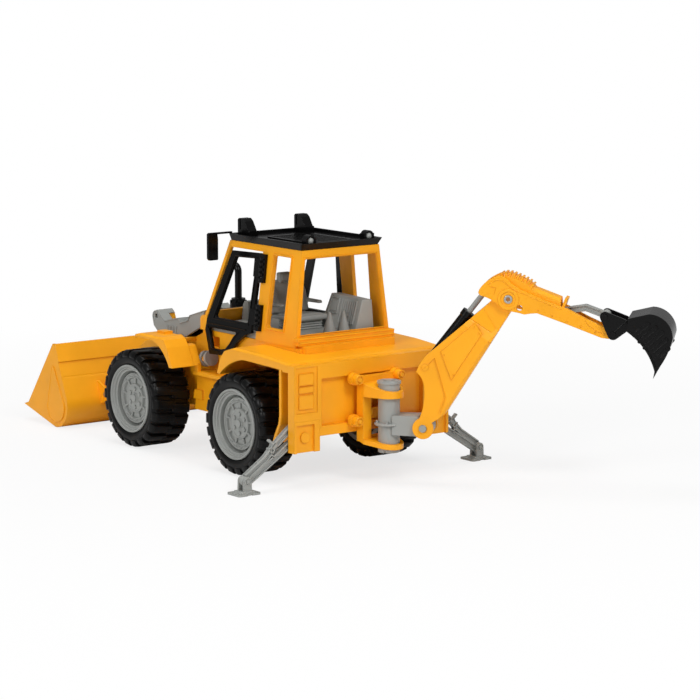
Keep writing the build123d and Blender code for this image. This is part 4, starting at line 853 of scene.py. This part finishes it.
    @staticmethod
    def _face(turn: float, radius: float, out: float) -> Vector:
        """A place on the rim's outer face.

        Args:
            turn: how far round the wheel, in whole turns.
            radius: distance from the axis in millimetres.
            out: distance from the wheel's middle in millimetres.

        Returns:
            The place in metres.
        """
        angle = 2 * math.pi * turn
        return mm(radius * math.cos(angle), out, radius * math.sin(angle))


# ---------------------------------------------------------------- backhoe
@dataclass
class Backhoe:
    """Raised lines, pin heads and bosses on boom, arm, kingpost and digger bucket.

    Args:
        plane: the plane in which the pieces move.
        boom_half: half of the boom's width.
        cheek_half: half of the arm's width at the boom.
        tip_half: half of the arm's width at the bucket.
        taper: where along the plane the arm starts and ends to narrow.
        digger_half: half of the digger bucket's width.
        loops: open loops on each of its cheeks.
        collar_bolts: bolts round the kingpost's collar.
    """

    plane: DiggingPlane = field(default_factory=DiggingPlane)
    boom_half: float = 13.5
    cheek_half: float = 12.3
    tip_half: float = 9.0
    taper: tuple[float, float] = (118.0, 174.0)
    digger_half: float = 24.0
    loops: int = 5
    collar_bolts: int = 6

    def build(self) -> None:
        """Dresses the digging arm from its foot to its bucket."""
        self._boom()
        self._neck()
        self._pins()
        self._arm()
        self._bucket()
        self._kingpost()

    def _line(
        self, route: Outline, side: float, radius: float, closed: bool = False
    ) -> bpy.types.Object:
        """A raised line on a face that lies along the digging plane.

        Args:
            route: corners of the line, out and up.
            side: how far to the boom's left the face lies.
            radius: radius of the line in millimetres.
            closed: whether the line runs back to its start.

        Returns:
            The line.
        """
        return Bench.bead([self.plane.at(x, z, side) for x, z in route], radius * MM, closed)

    def _boom(self) -> None:
        """Adds the border of the raised panel, the crease and the small marks of the boom."""
        bench = Bench("boom", Paint.YELLOW)
        panel = [(46.4, 116.6), (75.4, 142.2), (81.4, 133.2), (55.4, 92.6)]
        crease = [(30.5, 101.0), (41.0, 110.6), (50.3, 78.3), (45.5, 64.0)]
        marks = [(49.0, 113.6), (74.6, 138.4), (78.6, 133.0), (57.0, 97.0)]
        parts = []
        for sign in (1, -1):
            face = sign * (self.boom_half + 0.5)
            parts.append(self._line(panel, face, 0.42, True))
            parts.append(self._line(crease, face, 0.5))
            for x, z in marks:
                rise = self.plane.side * sign * 0.6 * MM
                parts.append(bench.stud(self.plane.at(x, z, face), rise, 0.8 * MM, 12))
        bench.assemble("boom_lines", parts)

    def _neck(self) -> None:
        """Closes the boom's sides where it narrows to fit between the arm's cheeks."""
        bench = Bench("boom", Paint.YELLOW)
        foot, head = self.plane.at(85.3, 134.6), joint_place("arm_lift")
        along = (head - foot).normalized()
        across = along.cross(self.plane.side)
        reach = 30.0
        wall_plan = [(-6.2, 8.0), (-6.2, 13.4), (5.0, 8.5), (16.0, 8.5), (16.0, 8.0)]
        boom_edges = (
            ((39.5, 117.75), (86.2, 158.15), (60, 100)),
            ((52.7, 67.5), (104.8, 151.6), (60, 130)),
        )
        parts = []
        for sign in (1, -1):
            corners = [
                foot + along * u * MM - across * reach * MM + self.plane.side * sign * w * MM
                for u, w in wall_plan
            ]
            wall = bench.plate(corners, across * 2 * reach * MM)
            for start, end, inside in boom_edges:
                self._trim(wall, self.plane.at(*start), self.plane.at(*end), self.plane.at(*inside))
            parts.append(wall)
        bench.assemble("boom_neck_sides", parts)

    def _trim(self, piece: bpy.types.Object, start: Vector, end: Vector, inside: Vector) -> None:
        """Cuts a piece along a line of the digging plane and closes the cut.

        Args:
            piece: the piece to trim.
            start: a place on the line.
            end: another place on the line.
            inside: a place on the side that stays.
        """
        normal = (end - start).cross(self.plane.side).normalized()
        if (inside - start).dot(normal) > 0:
            normal.negate()
        pick(piece)
        bpy.ops.object.mode_set(mode="EDIT")
        bpy.ops.mesh.select_all(action="SELECT")
        bpy.ops.mesh.bisect(plane_co=start, plane_no=normal, use_fill=True, clear_outer=True)
        bpy.ops.object.mode_set(mode="OBJECT")

    def _pins(self) -> None:
        """Adds the heads of the boom's base pin and the screws in the arm's bushing."""
        for body, joint, half, radius, finish in (
            ("kingpost", "boom_lift", self.boom_half + 0.8, 3.1, Paint.GREY),
            ("boom", "arm_lift", self.cheek_half + 0.2, 1.7, Paint.BRASS),
        ):
            bench = Bench(body, finish)
            heads = []
            for sign in (1, -1):
                way = self.plane.side * sign
                foot = joint_place(joint) + way * (half - 0.3) * MM
                heads.append(bench.stud(foot, way * 0.9 * MM, radius * MM, 32))
            bench.assemble(f"{joint}_heads", heads)

    def _arm(self) -> None:
        """Adds the lines along the arm's cheeks and the small round marks under them."""
        bench = Bench("arm", Paint.YELLOW)
        brow = [
            (86.0, 174.6), (92.6, 178.4), (98.0, 178.0), (104.8, 172.6), (112.6, 168.6),
            (128.0, 162.2), (148.0, 154.6),
        ]
        edge = [(167.0, 145.6), (170.6, 141.4), (176.4, 137.4), (184.0, 134.0)]
        hook = [(91.0, 166.2), (92.4, 171.6), (87.2, 173.0)]
        marks = [(128, 153.4), (140, 149.2), (152, 144.8), (164, 140.6), (176, 136.2)]
        parts = []
        for sign in (1, -1):
            for route, radius in ((brow, 0.45), (edge, 0.4), (hook, 0.35)):
                parts.append(bench.bead([self._cheek(x, z, sign) for x, z in route], radius * MM))
            for x, z in marks:
                rise = self.plane.side * sign * 0.5 * MM
                parts.append(bench.stud(self._cheek(x, z, sign), rise, 0.7 * MM, 12))
        bench.assemble("arm_lines", parts)

    def _cheek(self, out: float, height: float, sign: int) -> Vector:
        """A place on the arm's cheek, which narrows towards the bucket.

        Args:
            out: distance from the kingpost's axis in millimetres.
            height: height over the floor in millimetres.
            sign: 1 for the left cheek, -1 for the right.

        Returns:
            The place in metres.
        """
        start, end = self.taper
        share = min(1.0, max(0.0, (out - start) / (end - start)))
        half = self.cheek_half + (self.tip_half - self.cheek_half) * share
        return self.plane.at(out, height, sign * (half + 0.05))

    def _bucket(self) -> None:
        """Adds the loops and border on the bucket's cheeks, its bracket's lines and pin heads."""
        bench = Bench("digger_bucket", Paint.BLACK)
        border = arc((172.0, 92.1), (58.2, 58.2), range(18, 55, 6))
        fold = [(191.4, 136.4), (200.2, 144.8), (204.6, 148.6)]
        parts = []
        for sign in (1, -1):
            face = sign * (self.digger_half + 0.1)
            parts.append(self._line(border, face, 0.5))
            for number in range(self.loops):
                parts.append(self._line(self._loop(number), face + sign * 0.4, 0.45))
            cheek = sign * (self.tip_half + 2.95)
            parts.append(self._line(fold, cheek, 0.45))
            for joint in ("bucket_curl", "link_turn"):
                foot = joint_place(joint) + self.plane.side * (cheek + sign * 0.1) * MM
                parts.append(bench.stud(foot, self.plane.side * sign * 0.9 * MM, 2.4 * MM, 24, 0.4))
        bench.assemble("bucket_lines", parts)

    def _loop(self, number: int) -> Outline:
        """Outline of one open loop, the middle ones longer than the outer ones.

        Args:
            number: which loop, counted from the bucket's bracket.

        Returns:
            Its corners, from one open end round to the other.
        """
        half = 1.5
        foot = Vector((209.4 + 4.3 * number, 136.2 - 5.0 * number))
        reach = 0.71 * (11.6 + 4.4 * math.sin(math.pi * number / (self.loops - 1)))
        tip = foot + Vector((reach + 3.0, reach + 1.6))
        along = (tip - foot).normalized()
        across = Vector((-along.y, along.x))
        angles = [i * math.pi / 6 for i in range(7)]
        round_end = [tip + (along * math.sin(t) + across * math.cos(t)) * half for t in angles]
        start = foot + along * 3.0
        return [tuple(p) for p in (start + across * half, *round_end, start - across * half)]

    def _kingpost(self) -> None:
        """Adds the collar with its bolts, the stepped cap and the foot ring of the kingpost."""
        bench = Bench("kingpost", Paint.GREY)
        post = joint_place("swing")
        parts = []
        for height, major, minor in (
            (51.4, 11.4, 1.3), (88.3, 8.6, 0.5), (88.3, 5.6, 0.4), (29.0, 8.6, 0.7),
        ):
            middle = Vector((post.x, post.y, height * MM))
            parts.append(bench.ring(middle, UP, major * MM, minor * MM))
        for number in range(self.collar_bolts):
            angle = 2 * math.pi * number / self.collar_bolts + math.radians(12)
            out = mm(10.6 * math.cos(angle), 10.6 * math.sin(angle), 52.4)
            foot = Vector((post.x, post.y, 0)) + out
            parts.append(bench.stud(foot, mm(0, 0, 2.2), 1.3 * MM, 12))
        bench.assemble("kingpost_collar", parts)


# ---------------------------------------------------------------- carriage and rear
@dataclass
class RearEnd:
    """Screw heads on the clamp knobs, and raised lines on rear panels and fenders.

    Args:
        rear_x: the rear panels' face.
        knob_x: end of the clamp knobs.
        knob_y: how far the knobs lie from the toy's middle.
        knob_heights: heights of the upper and lower knobs.
        panel_sides: inner and outer side of the fields on the upper panels.
        panel_fields: lower and upper edge of each field.
        boss: place of the ring on each lower box, across and up.
    """

    rear_x: float = -83.0
    knob_x: float = -94.3
    knob_y: float = 22.6
    knob_heights: tuple[float, float] = (89.6, 53.5)
    panel_sides: tuple[float, float] = (63.6, 78.8)
    panel_fields: tuple[tuple[float, float], ...] = ((68.2, 80.0), (82.0, 87.2), (88.6, 98.4))
    boss: tuple[float, float] = (71.5, 43.5)

    def build(self) -> None:
        """Dresses carriage, rear posts, lower boxes and fenders."""
        self._knobs()
        self._panels()
        self._crescents()

    def _knobs(self) -> None:
        """Adds a collar and a screw head with a socket to each clamp knob."""
        bench = Bench("carriage", Paint.YELLOW)
        rings, heads = [], []
        for side in (1, -1):
            for height in self.knob_heights:
                centre = mm(self.knob_x + 0.6, side * self.knob_y, height)
                rings.append(bench.ring(centre, BACK, 3.5 * MM, 0.7 * MM))
                heads.append(bench.stud(centre + BACK * 0.2 * MM, BACK * 1.1 * MM, 1.9 * MM, 20, 0.5))
        bench.assemble("knob_collars", rings)
        bench.assemble("knob_screws", heads)

    def _panels(self) -> None:
        """Adds the borders of the upper panels' fields and a ring on each lower box."""
        bench = Bench("machine", Paint.YELLOW)
        inner, outer = self.panel_sides
        parts = []
        for side in (1, -1):
            for low, high in self.panel_fields:
                border = [(inner, low), (outer, low), (outer, high), (inner, high)]
                corners = [mm(self.rear_x - 0.05, side * y, z) for y, z in border]
                parts.append(bench.bead(corners, 0.4 * MM, True))
            foot = mm(self.rear_x + 1.2, side * self.boss[0], self.boss[1])
            parts.append(bench.ring(foot, BACK, 4.5 * MM, 0.5 * MM))
        bench.assemble("rear_panel_lines", parts)

    def _crescents(self) -> None:
        """Adds the curved mark on the rear corner of each fender."""
        bench = Bench("machine", Paint.YELLOW)
        angles = [i * math.pi / 8 for i in range(9)]
        parts = []
        for side in (1, -1):
            mark = [mm(-71 - 7 * math.sin(t), side * (72 + 9 * math.cos(t)), 105.9) for t in angles]
            parts.append(bench.bead(mark, 0.45 * MM))
        bench.assemble("fender_crescents", parts)


# ---------------------------------------------------------------- stabilisers
@dataclass
class Stabilisers:
    """Legs of two ribbed members, and cleats and pin heads on their pads.

    Args:
        leg_x: the legs' middle along the toy.
        leg_half: half of a leg's thickness.
        web_half: half of the thickness between its ribs.
        rail: width of a rib.
        beam: course of the main member, across and up.
        link: course of the second member.
        root: pin that holds the leg, across and up.
        elbow: pin at the second member's bend.
        foot: pin that holds the pad.
    """

    leg_x: float = -71.0
    leg_half: float = 2.4
    web_half: float = 0.7
    rail: float = 1.3
    beam: Outline = ((62.0, 50.2), (95.0, 28.4), (125.0, 9.6))
    link: Outline = ((68.0, 57.0), (81.0, 50.2), (97.0, 37.5), (106.4, 27.8), (126.4, 14.6))
    root: tuple[float, float] = (62.0, 52.0)
    elbow: tuple[float, float] = (97.0, 37.5)
    foot: tuple[float, float] = (127.0, 11.5)

    def build(self) -> None:
        """Models both legs and dresses their pads."""
        for name, side in SIDES.items():
            self._leg(name, side)
            self._pad(name, side)

    def _leg(self, name: str, side: int) -> None:
        """Models a leg: two ribbed members, their pin bosses and the hook.

        Args:
            name: left or right.
            side: 1 for left, -1 for right.
        """
        bench = Bench(f"stabiliser_leg_{name}", Paint.GREY)
        parts = []
        for path, width in ((self.beam, 5.6), (self.link, 5.2)):
            parts.append(self._strip(path, 0.0, width, self.web_half, side))
            for edge in (-1, 1):
                offset = edge * (width - self.rail) / 2
                parts.append(self._strip(path, offset, self.rail, self.leg_half, side))
        hook, strut = ((97.0, 38.5), (102.6, 43.6)), ((102.6, 36.6), (98.0, 27.4))
        parts.append(self._strip(hook, 0.0, 1.8, 1.8, side))
        parts.append(self._strip(strut, 0.0, 1.4, self.leg_half, side))
        for (y, z), radius, wall in (
            (self.root, 4.4, 2.3), (self.foot, 4.2, 2.1), (self.elbow, 3.2, 1.4),
        ):
            parts.append(self._tube(mm(self.leg_x, side * y, z), radius, wall))
        pin = mm(self.leg_x + self.leg_half, side * self.elbow[0], self.elbow[1])
        parts.append(bench.stud(pin, mm(-2 * self.leg_half, 0, 0), 1.9 * MM, 20))
        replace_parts(bench.assemble(f"leg_members_{name}", parts), f"stabiliser_leg_{name}")

    def _strip(
        self, path: Outline, offset: float, width: float, half: float, side: int
    ) -> bpy.types.Object:
        """A flat bar that follows a path in the leg's upright plane.

        Args:
            path: places across and up, in millimetres, for the left leg.
            offset: how far beside the path the bar's middle lies.
            width: width of the bar.
            half: half of its thickness along the machine.
            side: 1 for left, -1 for right.

        Returns:
            The bar.
        """
        points = [Vector(p) for p in path]
        upper, lower = [], []
        for number, point in enumerate(points):
            before, after = points[max(0, number - 1)], points[min(len(points) - 1, number + 1)]
            along = (after - before).normalized()
            across = Vector((-along.y, along.x))
            upper.append(point + across * (offset + width / 2))
            lower.append(point + across * (offset - width / 2))
        corners = [mm(self.leg_x - half, side * p.x, p.y) for p in (*upper, *reversed(lower))]
        return Bench.plate(corners, mm(2 * half, 0, 0), 0.2 * MM)

    def _tube(self, centre: Vector, radius: float, wall: float) -> bpy.types.Object:
        """A pin boss with an open bore through the leg.

        Args:
            centre: middle of the boss.
            radius: its outer radius in millimetres.
            wall: thickness of its wall in millimetres.

        Returns:
            The boss.
        """
        bpy.ops.object.select_all(action="DESELECT")
        bpy.ops.mesh.primitive_cylinder_add(
            vertices=32, radius=radius * MM, depth=2 * self.leg_half * MM, location=centre,
            rotation=(0, math.pi / 2, 0), end_fill_type="NOTHING",
        )
        apply_place()
        boss = bpy.context.object
        shell = boss.modifiers.new("wall", "SOLIDIFY")
        shell.thickness = wall * MM
        bpy.ops.object.modifier_apply(modifier=shell.name)
        soften(boss, 0.3 * MM, 2)
        return boss

    def _pad(self, name: str, side: int) -> None:
        """Adds four cleats round the stepped foot and a ringed pin head on each of its faces.

        Args:
            name: left or right.
            side: 1 for left, -1 for right.
        """
        bench = Bench(f"stabiliser_pad_{name}", Paint.GREY)
        across, up = self.foot
        parts = []
        for dx in (-6.2, 6.2):
            for dy in (-8.4, 8.4):
                cleat = mm(self.leg_x + 1 + dx, side * across + dy, 1.7)
                parts.append(bench.stud(cleat, mm(0, 0, 0.5), 1.6 * MM, 12))
        for face in (-1, 1):
            centre = mm(self.leg_x + face * (self.leg_half + 2.25), side * across, up)
            way = Vector((face, 0, 0))
            parts.append(bench.ring(centre, way, 2.9 * MM, 0.7 * MM))
            parts.append(bench.stud(centre, way * 0.9 * MM, 1.7 * MM, 20))
        bench.assemble(f"pad_cleats_{name}", parts)


# ---------------------------------------------------------------- hood
@dataclass
class HoodDress:
    """Raised lines and side ribs of the hood, its thickened ears and the ends of its pin.

    Args:
        half: half of the hood's width.
        ribs: upright ribs on each side.
        rib_start: place of the first rib.
        rib_step: distance between two ribs.
        ear: middle of the round ear.
        ear_radii: half-length and half-height of the border on the ear.
        ear_start: how far from the toy's middle the thickened ears begin.
        pin_start: how far from the toy's middle the pin's two ends begin.
    """

    half: float = 40.0
    ribs: int = 4
    rib_start: float = 159.0
    rib_step: float = 4.6
    ear: tuple[float, float] = (191.6, 114.0)
    ear_radii: tuple[float, float] = (6.0, 5.0)
    ear_start: float = 23.4
    pin_start: float = 23.5

    def build(self) -> None:
        """Dresses the hood."""
        self._lines()
        self._ears()
        self._pins()

    def _lines(self) -> None:
        """Adds the raised lines and ribs on both sides and the border on the ears."""
        bench = Bench("hood", Paint.GREY)
        upper = [(114.6, 127.0), (136.6, 120.4), (139.6, 115.2), (152.6, 111.6)]
        lower = [(113.9, 124.2), (118.0, 117.2), (120.4, 111.6), (144.6, 100.3), (175.0, 98.2)]
        shelf = [(156.4, 115.6), (178.6, 110.4)]
        ear = arc(self.ear, self.ear_radii, range(-60, 181, 30))
        parts = []
        for side in (1, -1):
            y = side * (self.half + 0.1)
            for line in (upper, lower, shelf):
                parts.append(bench.bead([mm(x, y, z) for x, z in line], 0.55 * MM))
            for number in range(self.ribs):
                x = self.rib_start + self.rib_step * number
                rib = [mm(x, side * self.half, 99.6), mm(x, side * (self.half + 0.2), 107.6)]
                parts.append(bench.bead(rib, 1.0 * MM))
            parts.append(bench.bead([mm(x, y, z) for x, z in ear], 0.4 * MM))
        bench.assemble("hood_lines", parts)

    def _ears(self) -> None:
        """Thickens the two ears inwards, so that they cap the nose lugs."""
        bench = Bench("hood", Paint.GREY)
        hump = [
            (186.0, 116.6), (190.2, 120.0), (192.8, 119.6), (194.6, 118.6), (198.4, 112.6),
            (197.9, 112.4), (194.3, 118.2), (192.6, 119.2), (190.3, 119.5), (186.3, 116.2),
        ]
        parts = []
        for side in (1, -1):
            corners = [mm(x, side * self.ear_start, z) for x, z in hump]
            parts.append(bench.plate(corners, mm(0, side * 6.9, 0)))
        bench.assemble("hood_ears", parts)

    def _pins(self) -> None:
        """Models the hinge pin as two short pins, one through each ear."""
        body = next(b for b, nodes in BODIES.items() if "hood_pin" in nodes)
        bench = Bench(body, Paint.STEEL)
        pivot = joint_place("hood_lift")
        pins = []
        for side in (1, -1):
            foot = pivot + mm(0, side * self.pin_start, 0)
            pins.append(bench.stud(foot, mm(0, side * 15, 0), 1.9 * MM))
        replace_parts(bench.assemble("hood_pin_ends", pins), "hood_pin")


# ---------------------------------------------------------------- loader bucket
@dataclass
class LoaderBucketDress:
    """Drop-shaped border on each cheek of the loader bucket.

    Args:
        half: half of the bucket's width.
        heel: middle of the drop's round end.
        heel_radius: radius of that end.
        tip: top of the drop's narrow end.
        tip_half: half of the width of that end.
    """

    half: float = 88.0
    heel: tuple[float, float] = (293.0, 20.0)
    heel_radius: float = 15.0
    tip: tuple[float, float] = (297.5, 57.8)
    tip_half: float = 1.2

    def build(self) -> None:
        """Dresses the loader bucket."""
        bench = Bench("loader_bucket", Paint.YELLOW)
        x, z = self.tip
        round_end = arc(self.heel, (self.heel_radius, self.heel_radius), range(172, 370, 18))
        drop = [*round_end, (x + self.tip_half, z), (x - self.tip_half, z)]
        parts = []
        for side in (1, -1):
            y = side * (self.half + 0.6)
            parts.append(bench.bead([mm(x, y, z) for x, z in drop], 0.5 * MM, True))
        bench.assemble("bucket_drops", parts)


# ---------------------------------------------------------------- cab
@dataclass
class Cab:
    """Seat, console, window and door beads, and hinge knuckles.

    Args:
        half_low: half of the cab's width at the sill.
        half_high: half of its width under the roof.
        rear_low: its rear face at the sill.
        rear_high: its rear face under the roof.
        sill_z: height of the sill.
        roof_z: height of the roof's underside.
        bellows: folds under the seat.
        console_ribs: upright ribs on the console's sloped face.
        knuckles: knuckles of one door hinge.
    """

    half_low: float = 50.5
    half_high: float = 42.0
    rear_low: float = -40.5
    rear_high: float = -37.4
    sill_z: float = 121.5
    roof_z: float = 196.0
    bellows: int = 4
    console_ribs: int = 8
    knuckles: int = 5

    def build(self) -> None:
        """Dresses the open cab."""
        self._seat()
        self._console()
        self._windows()
        for name, side in SIDES.items():
            self._door(name, side)
            self._hinges(name, side)

    def _seat(self) -> None:
        """Models the seat: bellows, bowl, cushions, headrest and armrests."""
        bowl = [(4.5, 127.4), (4.5, 131.4), (8, 132.4), (39, 130.4), (41, 127.4)]
        cushion = [(8, 131.6), (9, 133.2), (36, 131.4), (38, 129.8)]
        back = [(38.4, 130.0), (44.6, 158.6), (49.6, 160.4), (50.4, 150), (47.2, 128)]
        bolster = [(35.0, 132), (40.0, 150), (44.4, 156), (49.8, 154), (46.8, 130)]
        armrest = [(19.4, 139.6), (20.6, 142.2), (44, 142.2), (46.6, 137.4), (44, 135), (41, 139)]
        bracket = [(42, 129), (42.8, 137), (46.4, 137), (46.4, 129)]
        headrest = [(42.6, 157.6), (43.6, 166.4), (49.2, 166.4), (49.6, 157.6)]
        head_pad = [(41.8, 159.2), (42.6, 165.2), (44.6, 165.2), (44.0, 159.2)]
        parts = self._bellows()
        parts.append(self._slab(bowl, 19, 1.5))
        parts.append(self._slab(cushion, 14, 0.9))
        parts.append(self._slab(back, 13.5, 2.2))
        for side in (1, -1):
            parts.append(self._slab(bolster, 4.6, 1.8, side * 15.6))
            parts.append(self._slab(armrest, 2.3, 1.0, side * 21))
            parts.append(self._slab(bracket, 1.6, 0.6, side * 19.4))
        parts.append(self._slab(headrest, 6.6, 1.6))
        parts.append(self._slab(head_pad, 4.6, 0.8))
        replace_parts(Bench("machine", Paint.GREY).assemble("seat_shell", parts, 45), "seat")

    def _bellows(self) -> list[bpy.types.Object]:
        """Models the folds under the seat and the core inside them.

        Returns:
            The folds from the lowest up, and the core last.
        """
        folds = []
        for step in range(self.bellows):
            z = 119.4 + 2.2 * step
            fold = [mm(8, -14.5, z), mm(34.5, -14.5, z), mm(34.5, 14.5, z), mm(8, 14.5, z)]
            folds.append(Bench.plate(fold, mm(0, 0, 1.7), 0.7 * MM))
        core = [mm(10, -12, 119.3), mm(32, -12, 119.3), mm(32, 12, 119.3), mm(10, 12, 119.3)]
        return [*folds, Bench.plate(core, mm(0, 0, 9))]

    @staticmethod
    def _slab(
        outline: Outline, half: float, rounding: float, middle: float = 0.0
    ) -> bpy.types.Object:
        """A softened slab across the seat.

        Args:
            outline: corners in the upright plane, in millimetres.
            half: half of its width.
            rounding: radius of its edges.
            middle: where across the cab it sits.

        Returns:
            The slab.
        """
        corners = [mm(x, middle - half, z) for x, z in outline]
        return Bench.plate(corners, mm(0, 2 * half, 0), rounding * MM)

    def _console(self) -> None:
        """Models the side console: a sloped box with a blank panel, dials and ribs."""
        bench = Bench("machine", Paint.GREY)
        border = self._slopes((-3, 0.4), (-3, 0.9), (7.6, 0.92), (9.6, 0.4))
        panel = self._slopes((-1.4, 0.48), (-1.4, 0.82), (6.2, 0.84), (7.6, 0.48))
        parts = [self._console_box()]
        parts.append(bench.bead(border, 0.9 * MM, True))
        parts.append(bench.plate(panel, mm(0, 0.7, 0.2)))
        for number in range(self.console_ribs):
            x = -7.4 - 2.9 * number
            low = 0.5 if number in (2, 3, 4) else 0.14
            parts.append(bench.bead(self._slopes((x, low), (x, 0.9)), 0.8 * MM))
        out_of_slope = Vector((0, 31, 8.4))
        dials = self._slopes((-12, 0.3), (-19, 0.3), (3, 0.2))
        for centre, radius in zip(dials, (2.6, 2.6, 2.0)):
            parts.append(bench.ring(centre, out_of_slope, radius * MM, 0.8 * MM))
        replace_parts(bench.assemble("console_shell", parts), "side_console")

    @staticmethod
    def _console_box() -> bpy.types.Object:
        """Models the console's box, its top shorter in front and lower behind.

        Returns:
            The box.
        """
        section = [(-39.4, 119.2), (-37.0, 149.0), (-26.3, 149.4), (-18.9, 121.6), (-18.9, 119.2)]
        rear_x, length = -34.0, 51.0
        upper_z = 140.0
        box = Bench.plate([mm(rear_x, y, z) for y, z in section], mm(length, 0, 0))
        for corner in box.data.vertices:
            if corner.co.z > upper_z * MM and corner.co.x > 0:
                corner.co.x -= 6.0 * MM
            elif corner.co.z > upper_z * MM:
                corner.co.z -= 1.6 * MM
        soften(box, 0.9 * MM)
        return box

    @staticmethod
    def _slopes(*places: tuple[float, float]) -> list[Vector]:
        """Places on the console's sloped face.

        Args:
            places: for each, how far along the cab, and its share of the slope's height.

        Returns:
            The places in metres.
        """
        return [mm(x, -18.95 - 7.2 * share, 122.2 + 26.4 * share) for x, share in places]

    def _side_y(self, side: int, z: float, proud: float) -> float:
        """How far to the left a place over the cab's leaning side lies.

        Args:
            side: 1 for left, -1 for right.
            z: height of the place.
            proud: how far it stands out.

        Returns:
            The distance from the toy's middle in millimetres.
        """
        lean = (self.half_low - self.half_high) / (self.roof_z - self.sill_z)
        return side * (self.half_low - (z - self.sill_z) * lean + proud)

    def _rear_x(self, z: float) -> float:
        """How far back the cab's rear face stands at a height."""
        share = (z - self.sill_z) / (self.roof_z - self.sill_z)
        return self.rear_low + (self.rear_high - self.rear_low) * share

    def _windows(self) -> None:
        """Adds rounded beads round the rear windows and two lines along the rear sill."""
        bench = Bench("machine", Paint.YELLOW)
        side_window = [(1.9, 189.9), (-25.0, 189.9), (-22.0, 124.8), (3.9, 124.8)]
        rear_window = [(-47.0, 123.4), (47.0, 123.4), (39.4, 189.4), (-39.4, 189.4)]
        parts = []
        for side in (1, -1):
            corners = [mm(x, self._side_y(side, z, 0.45), z) for x, z in side_window]
            parts.append(bench.bead(corners, 0.8 * MM, True))
        corners = [mm(self._rear_x(z) - 0.1, y, z) for y, z in rear_window]
        parts.append(bench.bead(corners, 0.8 * MM, True))
        for x, half, z in ((-45.6, 52.4, 120.6), (-46.7, 51.6, 117.2)):
            parts.append(bench.bead([mm(x, -half, z), mm(x, half, z)], 0.7 * MM))
        bench.assemble("window_beads", parts)

    def _door(self, name: str, side: int) -> None:
        """Adds beads round a door's window and lower field and along its cross bar.

        Args:
            name: left or right.
            side: 1 for left, -1 for right.
        """
        bench = Bench(f"door_{name}", Paint.BLACK)
        window = [(29.0, 125.2), (82.4, 125.2), (56.8, 183.4), (24.4, 184.6)]
        lower_field = [
            (42.0, 117.6), (89.8, 117.6), (81.0, 97.4), (68.0, 97.6), (60.4, 99.2), (54.4, 105.0),
            (48.6, 112.6),
        ]
        bar = [(32.0, 120.4), (90.6, 120.4)]
        parts = []
        for route, radius, closed in ((window, 0.8, True), (lower_field, 0.8, True), (bar, 0.7, False)):
            corners = [mm(x, self._side_y(side, z, 1.25), z) for x, z in route]
            parts.append(bench.bead(corners, radius * MM, closed))
        bench.assemble(f"door_beads_{name}", parts)

    def _hinges(self, name: str, side: int) -> None:
        """Adds the knuckles of a door's two hinges.

        Args:
            name: left or right.
            side: 1 for left, -1 for right.
        """
        bench = Bench("machine", Paint.BLACK)
        parts = []
        for low in (123.0, 165.0):
            for number in range(self.knuckles):
                z = low + 4.6 * number
                foot = mm(14.5, self._side_y(side, z, 2.6), z)
                parts.append(bench.stud(foot, mm(0, 0, 2.4), 2.0 * MM, 16))
        bench.assemble(f"hinge_knuckles_{name}", parts)


# ---------------------------------------------------------------- whole toy
@dataclass
class Castings:
    """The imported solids, each dressed in the finish of its slot."""

    def build(self) -> None:
        """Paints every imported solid."""
        slots = {s["node"]: s["material_slot"] for s in FRAME["record"]["subparts"]}
        for node, solid in FRAME["nodes"].items():
            paint(solid, SLOT_PAINT[slots[node]])
            LOG.info("painted %s", node)


def main() -> None:
    """Builds the studio and dresses the toy, assembly by assembly."""
    Castings().build()
    Studio().build()
    for assembly in (
        Wheels(), Backhoe(), RearEnd(), Stabilisers(), HoodDress(), LoaderBucketDress(), Cab(),
    ):
        assembly.build()


if __name__ == "__main__":
    main()
